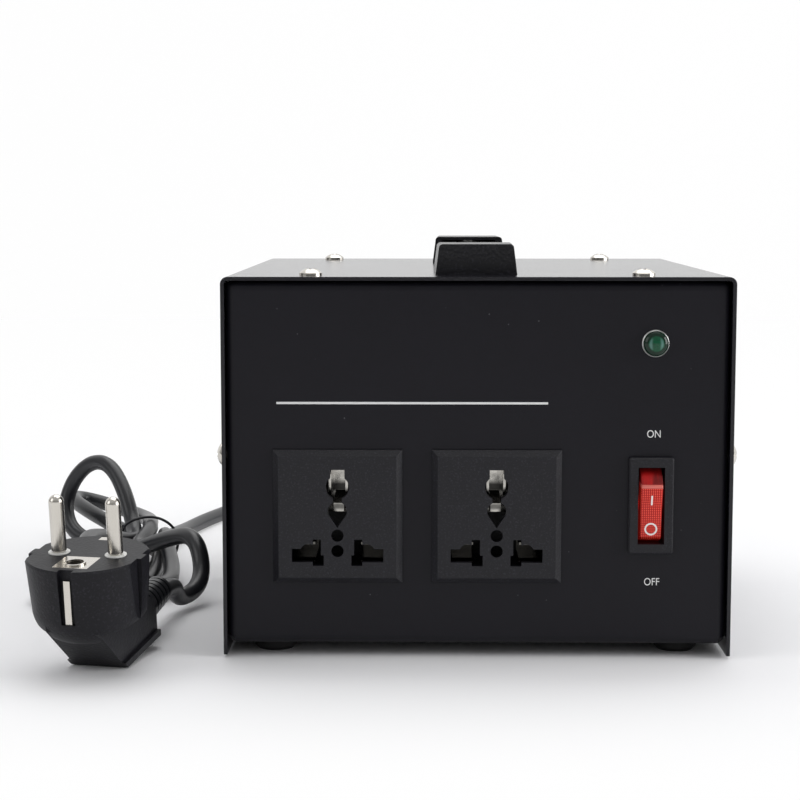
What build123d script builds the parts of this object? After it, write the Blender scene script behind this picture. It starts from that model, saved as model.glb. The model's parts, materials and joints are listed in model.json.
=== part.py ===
"""Voltage transformer in a bent sheet case, with two universal sockets and a tied mains lead.

Millimetres. X is to the right, Y to the rear, Z up, and the floor is at Z = 0.
Each function makes one piece, and the export at the end names them all.
"""
from build123d import *
from math import asin, cos, pi, radians, sin, sqrt, tan
import os

# Case
case_width = 166.0
case_height = 124.0
case_depth = 180.0
sheet = 1.2
bend = 3.0
cover_bend = 2.4
fit = 0.2
cover_lift = 1.0
foot_height = 4.4
panel_inset = 1.2
flange = 14.0
side_flange = 13.0
corner_relief = 2.4

# Vent slots in the cover's sides
vent_count = 9
vent_rows = 2
vent_width = 3.2
vent_length = 24.0
vent_pitch = 9.0
vent_row_pitch = 36.0
vent_height = 66.0

# Screws of the cover
screw_head = 7.5
screw_head_height = 2.4
screw_shank = 3.8
screw_length = 8.0
screw_play = 0.1
top_screw_pitch = 109.0
top_screw_inset = 12.0
side_screw_inset = 8.5
side_screw_drop = 3.4

# Feet
foot_width = 14.0
foot_tip = 12.0
foot_inset = 16.0
foot_recess = 2.4
foot_screw_head = 6.4
foot_screw_shank = 3.0

# Handle
handle_length = 140.0
cap_length = 26.0
cap_height = 10.0
cap_base = 27.1
cap_top = 24.6
cap_flare = 1.2
cap_round = 1.3
cap_floor = 4.3
cap_roof = 1.2
cap_wall = 3.0
strap_width = 20.4
strap_thick = 3.0
strap_groove = 0.5
strap_play = 0.3
strap_slot = 11.0
handle_screw_shank = 4.6
handle_screw_head = 8.6
handle_nut = 8.0

# Sockets
socket_width = 42.2
socket_height = 43.8
socket_proud = 2.6
socket_chamfer = 1.9
socket_skirt = 36.8
socket_skirt_height = 37.8
socket_skirt_depth = 4.0
socket_body_depth = 22.0
socket_wall = 1.8
socket_z = 47.0
left_socket_x = -45.4
right_socket_x = 6.4
cutout_play = 0.25
uk_slot = 4.4
uk_slot_z = -12.65
earth_slot = 4.7
earth_middle = 9.9
earth_plate = 8.8
earth_plate_top = 5.6
earth_plate_low = 12.5
earth_leaf_low = 3.6
earth_leaf_start = 4.5
earth_bow = 3.4
earth_bow_crest = 1.4
earth_bow_width = 3.4
earth_tab = 6.0
contact_thick = 0.8
contact_width = 7.0
live_start = 3.0
live_flare = 0.5

# Rocker switch
switch_x = 56.5
switch_z = 50.8
switch_bezel_width = 14.5
switch_bezel_height = 31.6
switch_bezel_proud = 2.0
switch_open_width = 8.6
switch_open_height = 25.2
switch_body_width = 12.2
switch_body_height = 27.6
switch_body_depth = 15.0
rocker_round = 12.35
rocker_face = 8.7
rocker_pivot_depth = 5.6
rocker_tilt = 12.0
rocker_play = 0.35
rocker_pin = 2.4
terminal_width = 4.8
terminal_length = 8.0

# Lamp
lamp_x = 57.3
lamp_z = 103.6
lamp_rim = 8.8
lamp_thread = 7.0
lamp_lens_width = 5.6
lamp_rim_proud = 1.2
lamp_dome = 2.0
lamp_length = 16.0
lamp_nut_width = 11.0
lamp_nut_height = 2.6

# Transformer
core_width = 114.0
core_height = 95.0
core_stack = 50.0
core_leg = 38.0
core_x = 8.0
core_y = 24.0
core_bolt = 5.0
core_bolt_inset = 9.5
winding_layer = 6.5
bobbin_wall = 1.4
bobbin_play = 0.4
bracket_thick = 2.0
bracket_leg = 16.0
bracket_height = 17.0

# Earth stud and wires inside the case
earth_inset = 15.0
earth_y = 40.0
earth_stud_width = 4.0
wire = 2.2
wire_bend = 5.0
wire_side = 2.0
wire_out = 13.0
wire_drop = 14.0
wire_back = 26.0
wire_low = 12.0
wire_turn = 18.0

# Fuse holder
fuse_x = -62.0
fuse_z = 84.0
fuse_cap_proud = 8.0
fuse_cap_width = 11.4
fuse_flange = 15.0
fuse_flange_thick = 2.2
fuse_thread = 12.0
fuse_body_length = 32.0
fuse_bore = 8.0
fuse_link_width = 5.2
fuse_link_length = 20.0
fuse_nut_width = 16.0
fuse_nut_height = 3.0

# Voltage selector
selector_x = -22.0
selector_z = 84.0
selector_plate_width = 29.0
selector_plate_height = 14.0
selector_plate_thick = 1.0
selector_window_width = 13.0
selector_window_height = 6.2
selector_knob_width = 6.8
selector_play = 0.2
selector_body_width = 19.0
selector_body_depth = 9.0
selector_screw_pitch = 23.0

# Lead
cord = 6.4
cord_play = 0.1
gland_x = -50.0
gland_z = 28.0
gland_neck = 11.0
gland_flange = 16.0
gland_flange_thick = 2.4
gland_length = 27.0
gland_tip = 8.6
gland_ribs = 6

# Plug
plug_width = 39.0
plug_foot = 36.6
plug_depth = 26.5
plug_height = 39.3
plug_flat = 34.8
plug_rib_width = 37.8
plug_rib = 5.0
plug_pin = 4.8
plug_pin_length = 19.0
plug_pin_pitch = 19.0
plug_place = (-123.3, -113.0, 38.7)
plug_lean = 6.6
plug_side_lean = -1.2
plug_turn = -12.0
grip_width = 17.6
grip_rim = 1.2
chin_front = -15.5
chin_top = -21.0
chin_foot = 4.5
grip_shoulder = 12.0
grip_top = -17.0
sole_height = 2.6
pocket_front = -23.0
pocket_back = -15.0
side_slot = 4.6
side_slot_wall = 16.8
clip_plate = 11.5
clip_plate_y = -9.0
clip_strip = 2.1
clip_reach = 17.6
clip_strip_top = -3.4
pin_root = 4.0
relief_start = 34.0
relief_end = 60.0
relief_wide = 13.0
relief_tip = 10.0
relief_drop = -32.0
relief_ribs = 7
insert_depth = 12.0
collar_width = 6.9
collar_height = 0.8
earth_tube_y = -10.0
earth_tube_bore = 5.4
earth_tube_depth = 17.6
clip_thick = 0.8

# Hank. Each loop has the vector to its far end and the vector that opens it out.
strand_gap = 1.1
hank_x = -129.7
hank_y = 59.7
hank_turn = 9.0
hank_half = 9.2
loop_points = 7
near_upper = ((-2.6, -68.6, 2.1), (13.1, -2.5, -8.6))
far_wide = ((-33.0, 30.6, 21.0), (8.8, -0.8, 13.4))
near_lower = ((-21.7, -76.6, -0.2), (-15.4, 6.8, 1.1))
far_narrow = ((-37.9, 65.5, 4.5), (-14.8, -2.5, 6.0))
lead_route = [
    (-50.0, 122.0, 28.0), (-50.0, 142.0, 21.0), (-48.0, 162.0, 10.0), (-50.0, 184.0, 3.8),
    (-64.0, 204.0, 3.2), (-84.0, 208.0, 3.2), (-101.0, 194.0, 3.2), (-110.0, 172.0, 3.2),
    (-118.0, 148.0, 3.2), (-123.5, 124.0, 3.2), (-126.0, 103.0, 5.0), (-126.9, 83.7, 6.6),
]
tail_route = [
    (-132.3, 26.6, 12.0), (-117.3, 15.4, 19.5), (-103.2, -0.6, 24.7),
    (-99.0, -11.0, 8.0), (-107.0, -27.0, 4.0),
]

# Tie
tie = 1.1
tie_slack = 3.5
tie_droop = 12.0

# Places worked out from the sizes above
rocker_half = sqrt(rocker_round**2 - rocker_face**2)
tilt = radians(rocker_tilt)
rocker_reach = rocker_half * sin(tilt) + rocker_face * cos(tilt) - rocker_pivot_depth
front_reach = rocker_reach - panel_inset
rear_reach = fuse_cap_proud - panel_inset
front = -(case_depth + rear_reach - front_reach) / 2
rear = front + case_depth
panel_front = front + panel_inset
panel_back = panel_front + sheet
rear_panel = rear - panel_inset
chassis_half = case_width / 2 - sheet - fit
chassis_bottom = foot_height
chassis_top = cover_lift + case_height - sheet - fit
cover_top = cover_lift + case_height
floor_plate = chassis_bottom + sheet


def block(x0, x1, y0, y1, z0, z1):
    return Pos((x0 + x1) / 2, (y0 + y1) / 2, (z0 + z1) / 2) * Box(x1 - x0, y1 - y0, z1 - z0)


def along_y(sketch, start, end):
    """Sketch x is X and sketch y is Z. The solid runs from Y = start to Y = end."""
    plane = Plane(origin=(0, end, 0), x_dir=(1, 0, 0), z_dir=(0, -1, 0))
    return extrude(plane * sketch, amount=end - start, dir=(0, -1, 0))


def along_x(sketch, start, end):
    """Sketch x is Y and sketch y is Z. The solid runs from X = start to X = end."""
    plane = Plane(origin=(start, 0, 0), x_dir=(0, 1, 0), z_dir=(1, 0, 0))
    return extrude(plane * sketch, amount=end - start, dir=(1, 0, 0))


def rod_y(width, x, z, start, end):
    return along_y(Pos(x, z) * Circle(width / 2), start, end)


def rod_x(width, y, z, start, end):
    return along_x(Pos(y, z) * Circle(width / 2), start, end)


def rod_z(width, x, y, start, end):
    return Pos(x, y, (start + end) / 2) * Cylinder(width / 2, end - start)


def turned(points):
    """A revolve about Z of a closed outline of radius and height."""
    outline = Plane.XZ * Polygon(*points, align=None)
    return revolve(outline, Axis.Z)


def facing_front(shape, x, y, z):
    """Turns a piece made along +Z so that its +Z end points to the front."""
    return Pos(x, y, z) * Rot(90, 0, 0) * shape


def facing_rear(shape, x, y, z):
    return Pos(x, y, z) * Rot(-90, 0, 0) * shape


def domed(half, low, rise, points):
    """A revolve of an outline that ends at (half, low), closed by a dome of this rise."""
    radius = (half**2 + rise**2) / (2 * rise)
    turn = asin(half / radius) / 2
    mid = (radius * sin(turn), low + rise - radius * (1 - cos(turn)))
    top = (0, low + rise)
    outline = Polyline(top, *points, (half, low)) + ThreePointArc((half, low), mid, top)
    return revolve(Plane.XZ * make_face(outline), Axis.Z)


def pan_screw(head, height, shank, length):
    """A cross head screw. Its seat is at Z = 0, the head above it."""
    dome = domed(head / 2, height * 0.35, height * 0.65, [(0, 0), (head / 2, 0)])
    stem = rod_z(shank, 0, 0, -length, 0)
    recess = Box(head * 0.56, head * 0.13, height) + Box(head * 0.13, head * 0.56, height)
    return dome + stem - Pos(0, 0, height) * recess


# Case

def chassis_shell():
    outer = block(-chassis_half, chassis_half, panel_front, rear_panel, chassis_bottom, chassis_top)
    inner = block(
        -chassis_half + sheet, chassis_half - sheet,
        panel_back, rear_panel - sheet,
        floor_plate, chassis_top - sheet,
    )
    shell = fillet(outer.edges(), bend) - fillet(inner.edges(), bend - sheet)
    window = block(
        -case_width, case_width,
        panel_front + flange, rear_panel - flange,
        chassis_bottom + side_flange, cover_top,
    )
    return shell - window


def socket_cutout(x):
    play = 2 * cutout_play
    return Pos(x, socket_z) * Rectangle(socket_skirt + play, socket_skirt_height + play)


def chassis():
    shell = chassis_shell()
    holes = socket_cutout(left_socket_x) + socket_cutout(right_socket_x)
    play = 2 * cutout_play
    switch_hole = Rectangle(switch_body_width + play, switch_body_height + play)
    holes += Pos(switch_x, switch_z) * switch_hole
    holes += Pos(lamp_x, lamp_z) * Circle(lamp_thread / 2 + screw_play)
    shell -= along_y(holes, panel_front - bend, panel_front + 2 * bend)
    rear_holes = Pos(fuse_x, fuse_z) * Circle(fuse_thread / 2 + screw_play)
    rear_holes += Pos(gland_x, gland_z) * Circle(gland_neck / 2 + screw_play)
    rear_holes += Pos(selector_x, selector_z) * Rectangle(
        selector_body_width + play, selector_window_height + 2 * sheet + play
    )
    with_screws = Locations(
        (selector_x - selector_screw_pitch / 2, selector_z),
        (selector_x + selector_screw_pitch / 2, selector_z),
    )
    for spot in with_screws:
        rear_holes += spot * Circle(foot_screw_shank / 2 + screw_play)
    shell -= along_y(rear_holes, rear_panel - 2 * bend, rear_panel + bend)
    for x, y in top_screw_places():
        shell -= rod_z(screw_shank + 2 * screw_play, x, y, chassis_top - 2 * sheet, cover_top)
    for y, z in side_screw_places():
        shell -= rod_x(screw_shank + 2 * screw_play, y, z, -case_width, case_width)
    for x, y in foot_places():
        hole = rod_z(foot_screw_shank + 2 * screw_play, x, y, 0, 2 * foot_height)
        shell -= hole
    for x, y in core_bolt_feet():
        shell -= rod_z(screw_shank + 2 * screw_play, x, y, 0, 2 * foot_height)
    shell -= rod_z(earth_stud_width + 2 * screw_play, earth_x, earth_y, 0, 2 * foot_height)
    for x in (-chassis_half, chassis_half):
        for y in (panel_front, rear_panel):
            relief = Box(2 * corner_relief, 2 * corner_relief, 2 * corner_relief)
            shell -= Pos(x, y, chassis_bottom) * relief
    return shell


def cover():
    high = case_height
    outer = Pos(0, cover_lift + high / 2) * Rectangle(case_width, high)
    outer = fillet(outer.vertices().group_by(Axis.Y)[-1], cover_bend)
    inner = Pos(0, cover_lift + high / 2 - sheet) * Rectangle(case_width - 2 * sheet, high)
    inner = fillet(inner.vertices().group_by(Axis.Y)[-1], cover_bend - sheet)
    shell = along_y(outer - inner, front, rear)
    slot = Rot(0, 0, 90) * SlotOverall(vent_length, vent_width)
    middle = (front + rear) / 2
    vents = Sketch() + [
        Pos(middle, vent_height) * place * slot
        for place in GridLocations(vent_pitch, vent_row_pitch, vent_count, vent_rows)
    ]
    shell -= along_x(vents, -case_width, case_width)
    for x, y in top_screw_places():
        shell -= rod_z(screw_shank + 2 * screw_play, x, y, chassis_top, cover_top + 1)
    for y, z in side_screw_places():
        shell -= rod_x(screw_shank + 2 * screw_play, y, z, -case_width, case_width)
    for y in handle_screw_places():
        shell -= rod_z(handle_screw_shank + 2 * screw_play, 0, y, chassis_top, cover_top + 1)
    return shell


def top_screw_places():
    half = top_screw_pitch / 2
    near = front + top_screw_inset
    far = rear - top_screw_inset
    return [(-half, near), (half, near), (-half, far), (half, far)]


def top_screw(place):
    screw = pan_screw(screw_head, screw_head_height, screw_shank, screw_length)
    return Pos(place[0], place[1], cover_top) * screw


def side_screw_places():
    z = cover_lift + case_height / 2 + side_screw_drop
    return [(front + side_screw_inset, z), (rear - side_screw_inset, z)]


def side_screws():
    screw = pan_screw(screw_head, screw_head_height, screw_shank, screw_length)
    half = case_width / 2
    solids = []
    for y, z in side_screw_places():
        solids.append(Pos(-half, y, z) * Rot(0, -90, 0) * screw)
        solids.append(Pos(half, y, z) * Rot(0, 90, 0) * screw)
    return Compound(children=solids)


# Feet

def foot_places():
    x = case_width / 2 - foot_inset
    return [(sx * x, y) for y in (front + foot_inset, rear - foot_inset) for sx in (-1, 1)]


def foot(place):
    hole = foot_screw_shank / 2 + screw_play
    head = foot_screw_head / 2 + 2 * screw_play
    body = turned([
        (hole, foot_height), (foot_width / 2, foot_height), (foot_width / 2, 1.2),
        (foot_tip / 2, 0), (head, 0), (head, foot_recess), (hole, foot_recess),
    ])
    return Pos(place[0], place[1], 0) * body


def foot_screws():
    length = foot_height - foot_recess + sheet + 4
    screw = pan_screw(foot_screw_head, foot_recess * 0.7, foot_screw_shank, length)
    solids = [Pos(x, y, foot_recess) * Rot(180, 0, 0) * screw for x, y in foot_places()]
    return Compound(children=solids)


# Handle

def cap_section(base, top, y):
    outline = Pos(0, 0) * Polygon(
        (-base / 2, 0), (base / 2, 0), (top / 2, cap_height), (-top / 2, cap_height), align=None
    )
    outline = fillet(outline.vertices().group_by(Axis.Y)[-1], cap_round)
    return Plane(origin=(0, y, cover_top), x_dir=(1, 0, 0), z_dir=(0, -1, 0)) * outline


def handle_screw_places():
    middle = (front + rear) / 2
    reach = handle_length / 2 - cap_length / 2
    return [middle - reach, middle + reach]


def handle_cap(rear_one):
    """The cap flares a little towards the strap that leaves it."""
    start = (front + rear) / 2 - handle_length / 2
    outer = cap_section(cap_base, cap_top, start)
    inner = cap_section(cap_base + cap_flare, cap_top + cap_flare, start + cap_length)
    body = loft([outer, inner], ruled=True)
    hollow = block(
        -strap_width / 2 - strap_play, strap_width / 2 + strap_play,
        start + cap_wall, start + cap_length + 1,
        cover_top + cap_floor, cover_top + cap_height - cap_roof,
    )
    hole = rod_z(
        handle_screw_shank + 2 * screw_play, 0, handle_screw_places()[0],
        cover_top - 1, cover_top + cap_floor + 1,
    )
    body = body - hollow - hole
    if rear_one:
        middle = (front + rear) / 2
        body = Pos(0, 2 * middle, 0) * mirror(body, Plane.XZ)
    return body


def handle_strap():
    """A flat band with a slotted hole at each end and grooves along its top."""
    middle = (front + rear) / 2
    reach = handle_length / 2 - cap_wall - 1
    low = cover_top + cap_floor
    band = block(-strap_width / 2, strap_width / 2, middle - reach, middle + reach, low, low + strap_thick)
    band = fillet(band.edges().filter_by(Axis.Y), 1.2)
    for x in (-strap_width / 4, 0, strap_width / 4):
        band -= block(
            x - strap_groove, x + strap_groove,
            middle - reach + cap_length, middle + reach - cap_length,
            low + strap_thick - strap_groove, low + strap_thick + 1,
        )
    for y in handle_screw_places():
        slot = Rot(0, 0, 90) * SlotOverall(strap_slot, handle_screw_shank + 4 * screw_play)
        band -= extrude(Pos(0, y, low - 1) * slot, amount=strap_thick + 2)
    return band


def handle_screws():
    head_low = cover_top + cap_floor + strap_thick
    head_high = cover_top + cap_height - cap_roof - 2 * screw_play
    tip = cover_top - sheet - 7
    solids = []
    for y in handle_screw_places():
        stem = rod_z(handle_screw_shank, 0, y, tip, head_low)
        head = rod_z(handle_screw_head, 0, y, head_low, head_high)
        nut = Pos(0, y, cover_top - sheet - 3.6) * extrude(RegularPolygon(handle_nut / 2, 6), amount=3.6)
        solids.append(stem + head + nut)
    return Compound(children=solids)


# Sockets. Their slots take round, flat and rectangular pins.

def live_slot(side):
    """The slot for a live or neutral pin. Side is -1 on the left and 1 on the right."""
    shape = Pos(11.05, uk_slot_z) * Rectangle(7.8, uk_slot)
    shape += Pos(9.5, uk_slot_z + 1.25) * Circle(2.6)
    shape += Pos(6.75, -11.7) * Rectangle(2.7, 8.7)
    shape += Pos(6.15, -14.3) * Rectangle(3.3, 3.5)
    return shape if side > 0 else mirror(shape, Plane.YZ)


def earth_hole():
    shape = Pos(0, 12.6) * Rectangle(earth_slot, 5.9)
    shape += Pos(0, 9.75) * Circle(3.8)
    shape += Pos(0, 5.5) * Rectangle(2.9, 5.0)
    shape += Pos(0, 1.95) * Circle(3.1)
    shape += Polygon((-2.9, 0.9), (0, -3.5), (2.9, 0.9), align=None)
    return shape


def socket_holes():
    shape = earth_hole() + live_slot(-1) + live_slot(1)
    for z in (-6.05, -11.15):
        shape += Pos(0, z) * Circle(2.0)
    return shape


def socket_face(x):
    half_w = socket_width / 2
    half_h = socket_height / 2
    plate = block(
        x - half_w, x + half_w, panel_front - socket_proud, panel_front,
        socket_z - half_h, socket_z + half_h,
    )
    plate = chamfer(plate.faces().sort_by(Axis.Y)[0].edges(), socket_chamfer)
    plate += block(
        x - socket_skirt / 2, x + socket_skirt / 2, panel_front, panel_front + socket_skirt_depth,
        socket_z - socket_skirt_height / 2, socket_z + socket_skirt_height / 2,
    )
    hollow = Pos(x, socket_z) * Rectangle(
        socket_skirt - 2 * socket_wall, socket_skirt_height - 2 * socket_wall
    )
    plate -= along_y(hollow, panel_front, panel_front + socket_skirt_depth + 1)
    holes = Pos(x, socket_z) * socket_holes()
    return plate - along_y(holes, panel_front - 2 * socket_proud, panel_front + 1)


socket_body_front = panel_front + socket_skirt_depth
socket_body_back = socket_body_front + socket_body_depth


def socket_body(x):
    """An open cup behind the face, with two snap wedges on each side."""
    half_w = socket_skirt / 2
    half_h = socket_skirt_height / 2
    cup = block(
        x - half_w, x + half_w, socket_body_front, socket_body_back,
        socket_z - half_h, socket_z + half_h,
    )
    cup -= block(
        x - half_w + socket_wall, x + half_w - socket_wall,
        socket_body_front - 1, socket_body_back - socket_wall,
        socket_z - half_h + socket_wall, socket_z + half_h - socket_wall,
    )
    wedge = Polygon((0, 0), (1.1, 0), (0, 7), align=None)
    for z in (socket_z - half_h / 2, socket_z + half_h / 2):
        for side in (-1, 1):
            plane = Plane(
                origin=(x + side * half_w, socket_body_front, z - 3),
                x_dir=(side, 0, 0), z_dir=(0, 0, side),
            )
            cup += extrude(plane * wedge, amount=6 * side)
    for dx, dz in socket_tabs():
        slot = Pos(x + dx, socket_z + dz) * Rectangle(terminal_width + fit, contact_thick + fit)
        cup -= along_y(slot, socket_body_back - 2 * socket_wall, socket_body_back + 1)
    return cup


def socket_tabs():
    return [(-11.05, uk_slot_z), (11.05, uk_slot_z), (0, earth_tab)]


def contact_tab(x, z):
    start = socket_body_back - socket_wall - contact_thick
    return block(
        x - terminal_width / 2, x + terminal_width / 2, start, socket_body_back + terminal_length,
        z - contact_thick / 2, z + contact_thick / 2,
    )


def live_contact(x, side):
    """Two spring leaves above and below the pin, joined at the back and flared at the mouth."""
    back = socket_body_back - socket_wall
    mouth = panel_front + live_start
    throat = mouth + live_start
    gap = uk_slot / 2
    thick = contact_thick
    leaf = Polygon(
        (back - thick, 0), (back, 0), (back, gap + thick), (throat, gap + thick),
        (mouth, gap + thick + live_flare), (mouth, gap + live_flare), (throat, gap),
        (back - thick, gap), align=None,
    )
    z = socket_z + uk_slot_z
    outline = Pos(0, z) * (leaf + mirror(leaf, Plane.XZ))
    middle = x + side * 11.05
    strip = along_x(outline, middle - contact_width / 2, middle + contact_width / 2)
    return strip + contact_tab(middle, z)


def earth_contact(x):
    """Two leaves beside the upper slot and a bowed strip behind the lower hole."""
    back = socket_body_back - socket_wall
    z = socket_z + earth_middle
    thick = contact_thick
    start = back - thick
    top = z + earth_plate_top
    low = z - earth_plate_low
    plate = block(x - earth_plate / 2, x + earth_plate / 2, start, back, low, top)
    leaf = earth_slot / 2
    for side in (-1, 1):
        x0, x1 = sorted((x + side * leaf, x + side * (leaf + thick)))
        plate += block(x0, x1, panel_front + earth_leaf_start, back, z - earth_leaf_low, top)
    middle = low + thick + earth_bow
    crest = panel_front + earth_leaf_start + earth_bow
    side = Polygon(
        (back, middle), (start, middle), (start, middle + earth_bow - thick),
        (crest + thick, middle + earth_bow_crest - thick / 2), (crest + thick, middle),
        (crest, middle), (crest, middle + earth_bow_crest), (start, middle + earth_bow),
        (back, middle + earth_bow), align=None,
    )
    bow = side + Pos(0, middle) * mirror(Pos(0, -middle) * side, Plane.XZ)
    plate += along_x(bow, x - earth_bow_width / 2, x + earth_bow_width / 2)
    return plate + contact_tab(x, socket_z + earth_tab)


# Rocker switch

rocker_axis_y = panel_front + rocker_pivot_depth


def switch_housing():
    w = switch_bezel_width / 2
    h = switch_bezel_height / 2
    bezel = block(
        switch_x - w, switch_x + w, panel_front - switch_bezel_proud, panel_front,
        switch_z - h, switch_z + h,
    )
    bezel = fillet(bezel.edges().filter_by(Axis.Y), 0.8)
    bezel = chamfer(bezel.faces().sort_by(Axis.Y)[0].edges(), 0.5)
    body = block(
        switch_x - switch_body_width / 2, switch_x + switch_body_width / 2,
        panel_front, panel_front + switch_body_depth,
        switch_z - switch_body_height / 2, switch_z + switch_body_height / 2,
    )
    mouth = block(
        switch_x - switch_open_width / 2, switch_x + switch_open_width / 2,
        panel_front - 2 * switch_bezel_proud, panel_front + switch_body_depth - 3,
        switch_z - switch_open_height / 2, switch_z + switch_open_height / 2,
    )
    pivot = rod_x(
        rocker_pin + 2 * rocker_play, rocker_axis_y, switch_z,
        switch_x - switch_body_width / 2 - 1, switch_x + switch_body_width / 2 + 1,
    )
    slots = block(
        switch_x - terminal_width / 2 - fit, switch_x + terminal_width / 2 + fit,
        panel_front + switch_body_depth - 4, panel_front + switch_body_depth + 1,
        switch_z - contact_thick / 2 - fit / 2, switch_z + contact_thick / 2 + fit / 2,
    )
    shell = bezel + body - mouth - pivot
    for dz in switch_terminal_drops():
        shell -= Pos(0, 0, dz) * slots
    return shell


def switch_terminal_drops():
    return (-8.5, 0, 8.5)


def switch_terminals():
    start = panel_front + switch_body_depth - 3
    solids = []
    for dz in switch_terminal_drops():
        z = switch_z + dz
        blade = block(
            switch_x - terminal_width / 2, switch_x + terminal_width / 2,
            start, start + 3 + terminal_length, z - contact_thick / 2, z + contact_thick / 2,
        )
        head = block(
            switch_x - terminal_width / 2, switch_x + terminal_width / 2,
            start - 1, start, z - 1.4, z + 1.4,
        )
        solids.append(blade + head)
    return Compound(children=solids)


def switch_rocker():
    """A round-ended rocker about its own pin. At rest its lower half is pressed in."""
    disc = Circle(rocker_round)
    band = Pos(rocker_face - 3.0, 0) * Rectangle(6.0, 4 * rocker_round)
    dip = Polygon(
        (rocker_face + 1, rocker_half), (rocker_face, rocker_half), (rocker_face - 0.8, 0),
        (rocker_face, -rocker_half), (rocker_face + 1, -rocker_half), align=None,
    )
    stem = Pos(2, 0) * Rectangle(6.0, 6.0)
    hub = Circle(rocker_pin / 2 + 1.2)
    outline = Rot(0, 0, 180) * ((disc & band) - dip + stem + hub)
    half = switch_open_width / 2 - rocker_play
    body = along_x(outline, -half, half)
    body += rod_x(rocker_pin, 0, 0, -switch_body_width / 2 + 0.3, switch_body_width / 2 - 0.3)
    return Pos(switch_x, rocker_axis_y, switch_z) * Rot(rocker_tilt, 0, 0) * body


# Lamp

def lamp_bezel():
    """A bright ring with a threaded sleeve that goes through the panel."""
    hole = lamp_lens_width / 2 + fit / 2
    body = turned([
        (hole, lamp_rim_proud), (lamp_rim / 2 - 0.5, lamp_rim_proud), (lamp_rim / 2, lamp_rim_proud - 0.6),
        (lamp_rim / 2, 0), (lamp_thread / 2, 0), (lamp_thread / 2, -lamp_length), (hole, -lamp_length),
    ])
    return facing_front(body, lamp_x, panel_front, lamp_z)


def lamp_lens():
    wide = lamp_lens_width / 2
    seat = lamp_rim_proud
    cap = lamp_rim / 2 - 0.9
    lens = domed(cap, seat, lamp_dome, [(0, seat - 8), (wide, seat - 8), (wide, seat)])
    return facing_front(lens, lamp_x, panel_front, lamp_z)


def lamp_nut():
    hexagon = RegularPolygon(lamp_nut_width / 2, 6) - Circle(lamp_thread / 2 + screw_play)
    nut = extrude(hexagon, amount=lamp_nut_height)
    return facing_front(nut, lamp_x, panel_back + lamp_nut_height, lamp_z)


# Transformer

core_left = core_x - core_width / 2
core_low = floor_plate
core_mid = core_low + core_height / 2
core_yoke = core_leg / 2
window_width = (core_width - 2 * core_leg) / 2
window_height = core_height - 2 * core_yoke


def core_bolt_places():
    half_w = core_width / 2 - core_bolt_inset
    half_h = core_height / 2 - core_bolt_inset
    return [(core_x + sx * half_w, core_mid + sz * half_h) for sx in (-1, 1) for sz in (-1, 1)]


def core_bolt_feet():
    x = core_width / 2 - core_bolt_inset
    y = core_stack / 2 + bracket_thick + bracket_leg / 2
    return [(core_x + sx * x, core_y + sy * y) for sx in (-1, 1) for sy in (-1, 1)]


def core():
    """Stacked E and I sheets, with the two windows that the coil fills."""
    outline = Pos(core_x, core_mid) * Rectangle(core_width, core_height)
    for side in (-1, 1):
        x = core_x + side * (core_leg + window_width) / 2
        outline -= Pos(x, core_mid) * Rectangle(window_width, window_height)
    for x, z in core_bolt_places():
        outline -= Pos(x, z) * Circle(core_bolt / 2 + screw_play)
    return along_y(outline, core_y - core_stack / 2, core_y + core_stack / 2)


def coil_ring(inner_gap, thick, low, high):
    inner_x = core_leg / 2 + inner_gap
    inner_y = core_stack / 2 + inner_gap
    outer = RectangleRounded(2 * (inner_x + thick), 2 * (inner_y + thick), max(thick, 1.5))
    hole = Rectangle(2 * inner_x, 2 * inner_y)
    return extrude(Pos(core_x, core_y, low) * (outer - hole), amount=high - low)


coil_low = core_mid - window_height / 2 + bobbin_play
coil_high = core_mid + window_height / 2 - bobbin_play
bobbin_outer = bobbin_play + bobbin_wall


def bobbin():
    tube = coil_ring(bobbin_play, bobbin_wall, coil_low, coil_high)
    lip = window_width - 2 * bobbin_play
    low_lip = coil_ring(bobbin_play, lip, coil_low, coil_low + 2)
    high_lip = coil_ring(bobbin_play, lip, coil_high - 2, coil_high)
    return tube + low_lip + high_lip


def primary_winding():
    return coil_ring(bobbin_outer, winding_layer, coil_low + 2, coil_high - 2)


def secondary_winding():
    start = bobbin_outer + winding_layer
    return coil_ring(start, winding_layer, coil_low + 2, coil_high - 2)


def core_bracket(side):
    """A steel angle that bolts the core down. Side is -1 in front and 1 behind."""
    face = core_y + side * core_stack / 2
    t = bracket_thick * side
    leg = (bracket_thick + bracket_leg) * side
    outline = Polygon(
        (face, core_low), (face + leg, core_low), (face + leg, core_low + bracket_thick),
        (face + t, core_low + bracket_thick), (face + t, core_low + bracket_height),
        (face, core_low + bracket_height), align=None,
    )
    plate = along_x(outline, core_left, core_left + core_width)
    for x, z in core_bolt_places():
        plate -= rod_y(core_bolt + 2 * screw_play, x, z, face - bracket_leg, face + bracket_leg)
    for x, y in core_bolt_feet():
        plate -= rod_z(screw_shank + 2 * screw_play, x, y, 0, core_low + 2 * bracket_thick)
    return plate


def core_bolts():
    """Four through bolts with nuts, and the four screws that hold the angles down."""
    solids = []
    for x, z in core_bolt_places():
        low = z < core_mid
        reach = core_stack / 2 + (bracket_thick if low else 0)
        stem = rod_y(core_bolt, x, z, core_y - reach, core_y + reach + 6)
        head = along_y(Pos(x, z) * RegularPolygon(5, 6), core_y - reach - 3.5, core_y - reach)
        nut = along_y(Pos(x, z) * RegularPolygon(5, 6), core_y + reach, core_y + reach + 4)
        solids.append(stem + head + nut)
    screw = pan_screw(screw_head, screw_head_height, screw_shank, bracket_thick + sheet + 2)
    for x, y in core_bolt_feet():
        solids.append(Pos(x, y, core_low + bracket_thick) * screw)
    return Compound(children=solids)


# Earth stud and wires inside the case

earth_x = earth_inset - case_width / 2


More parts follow.
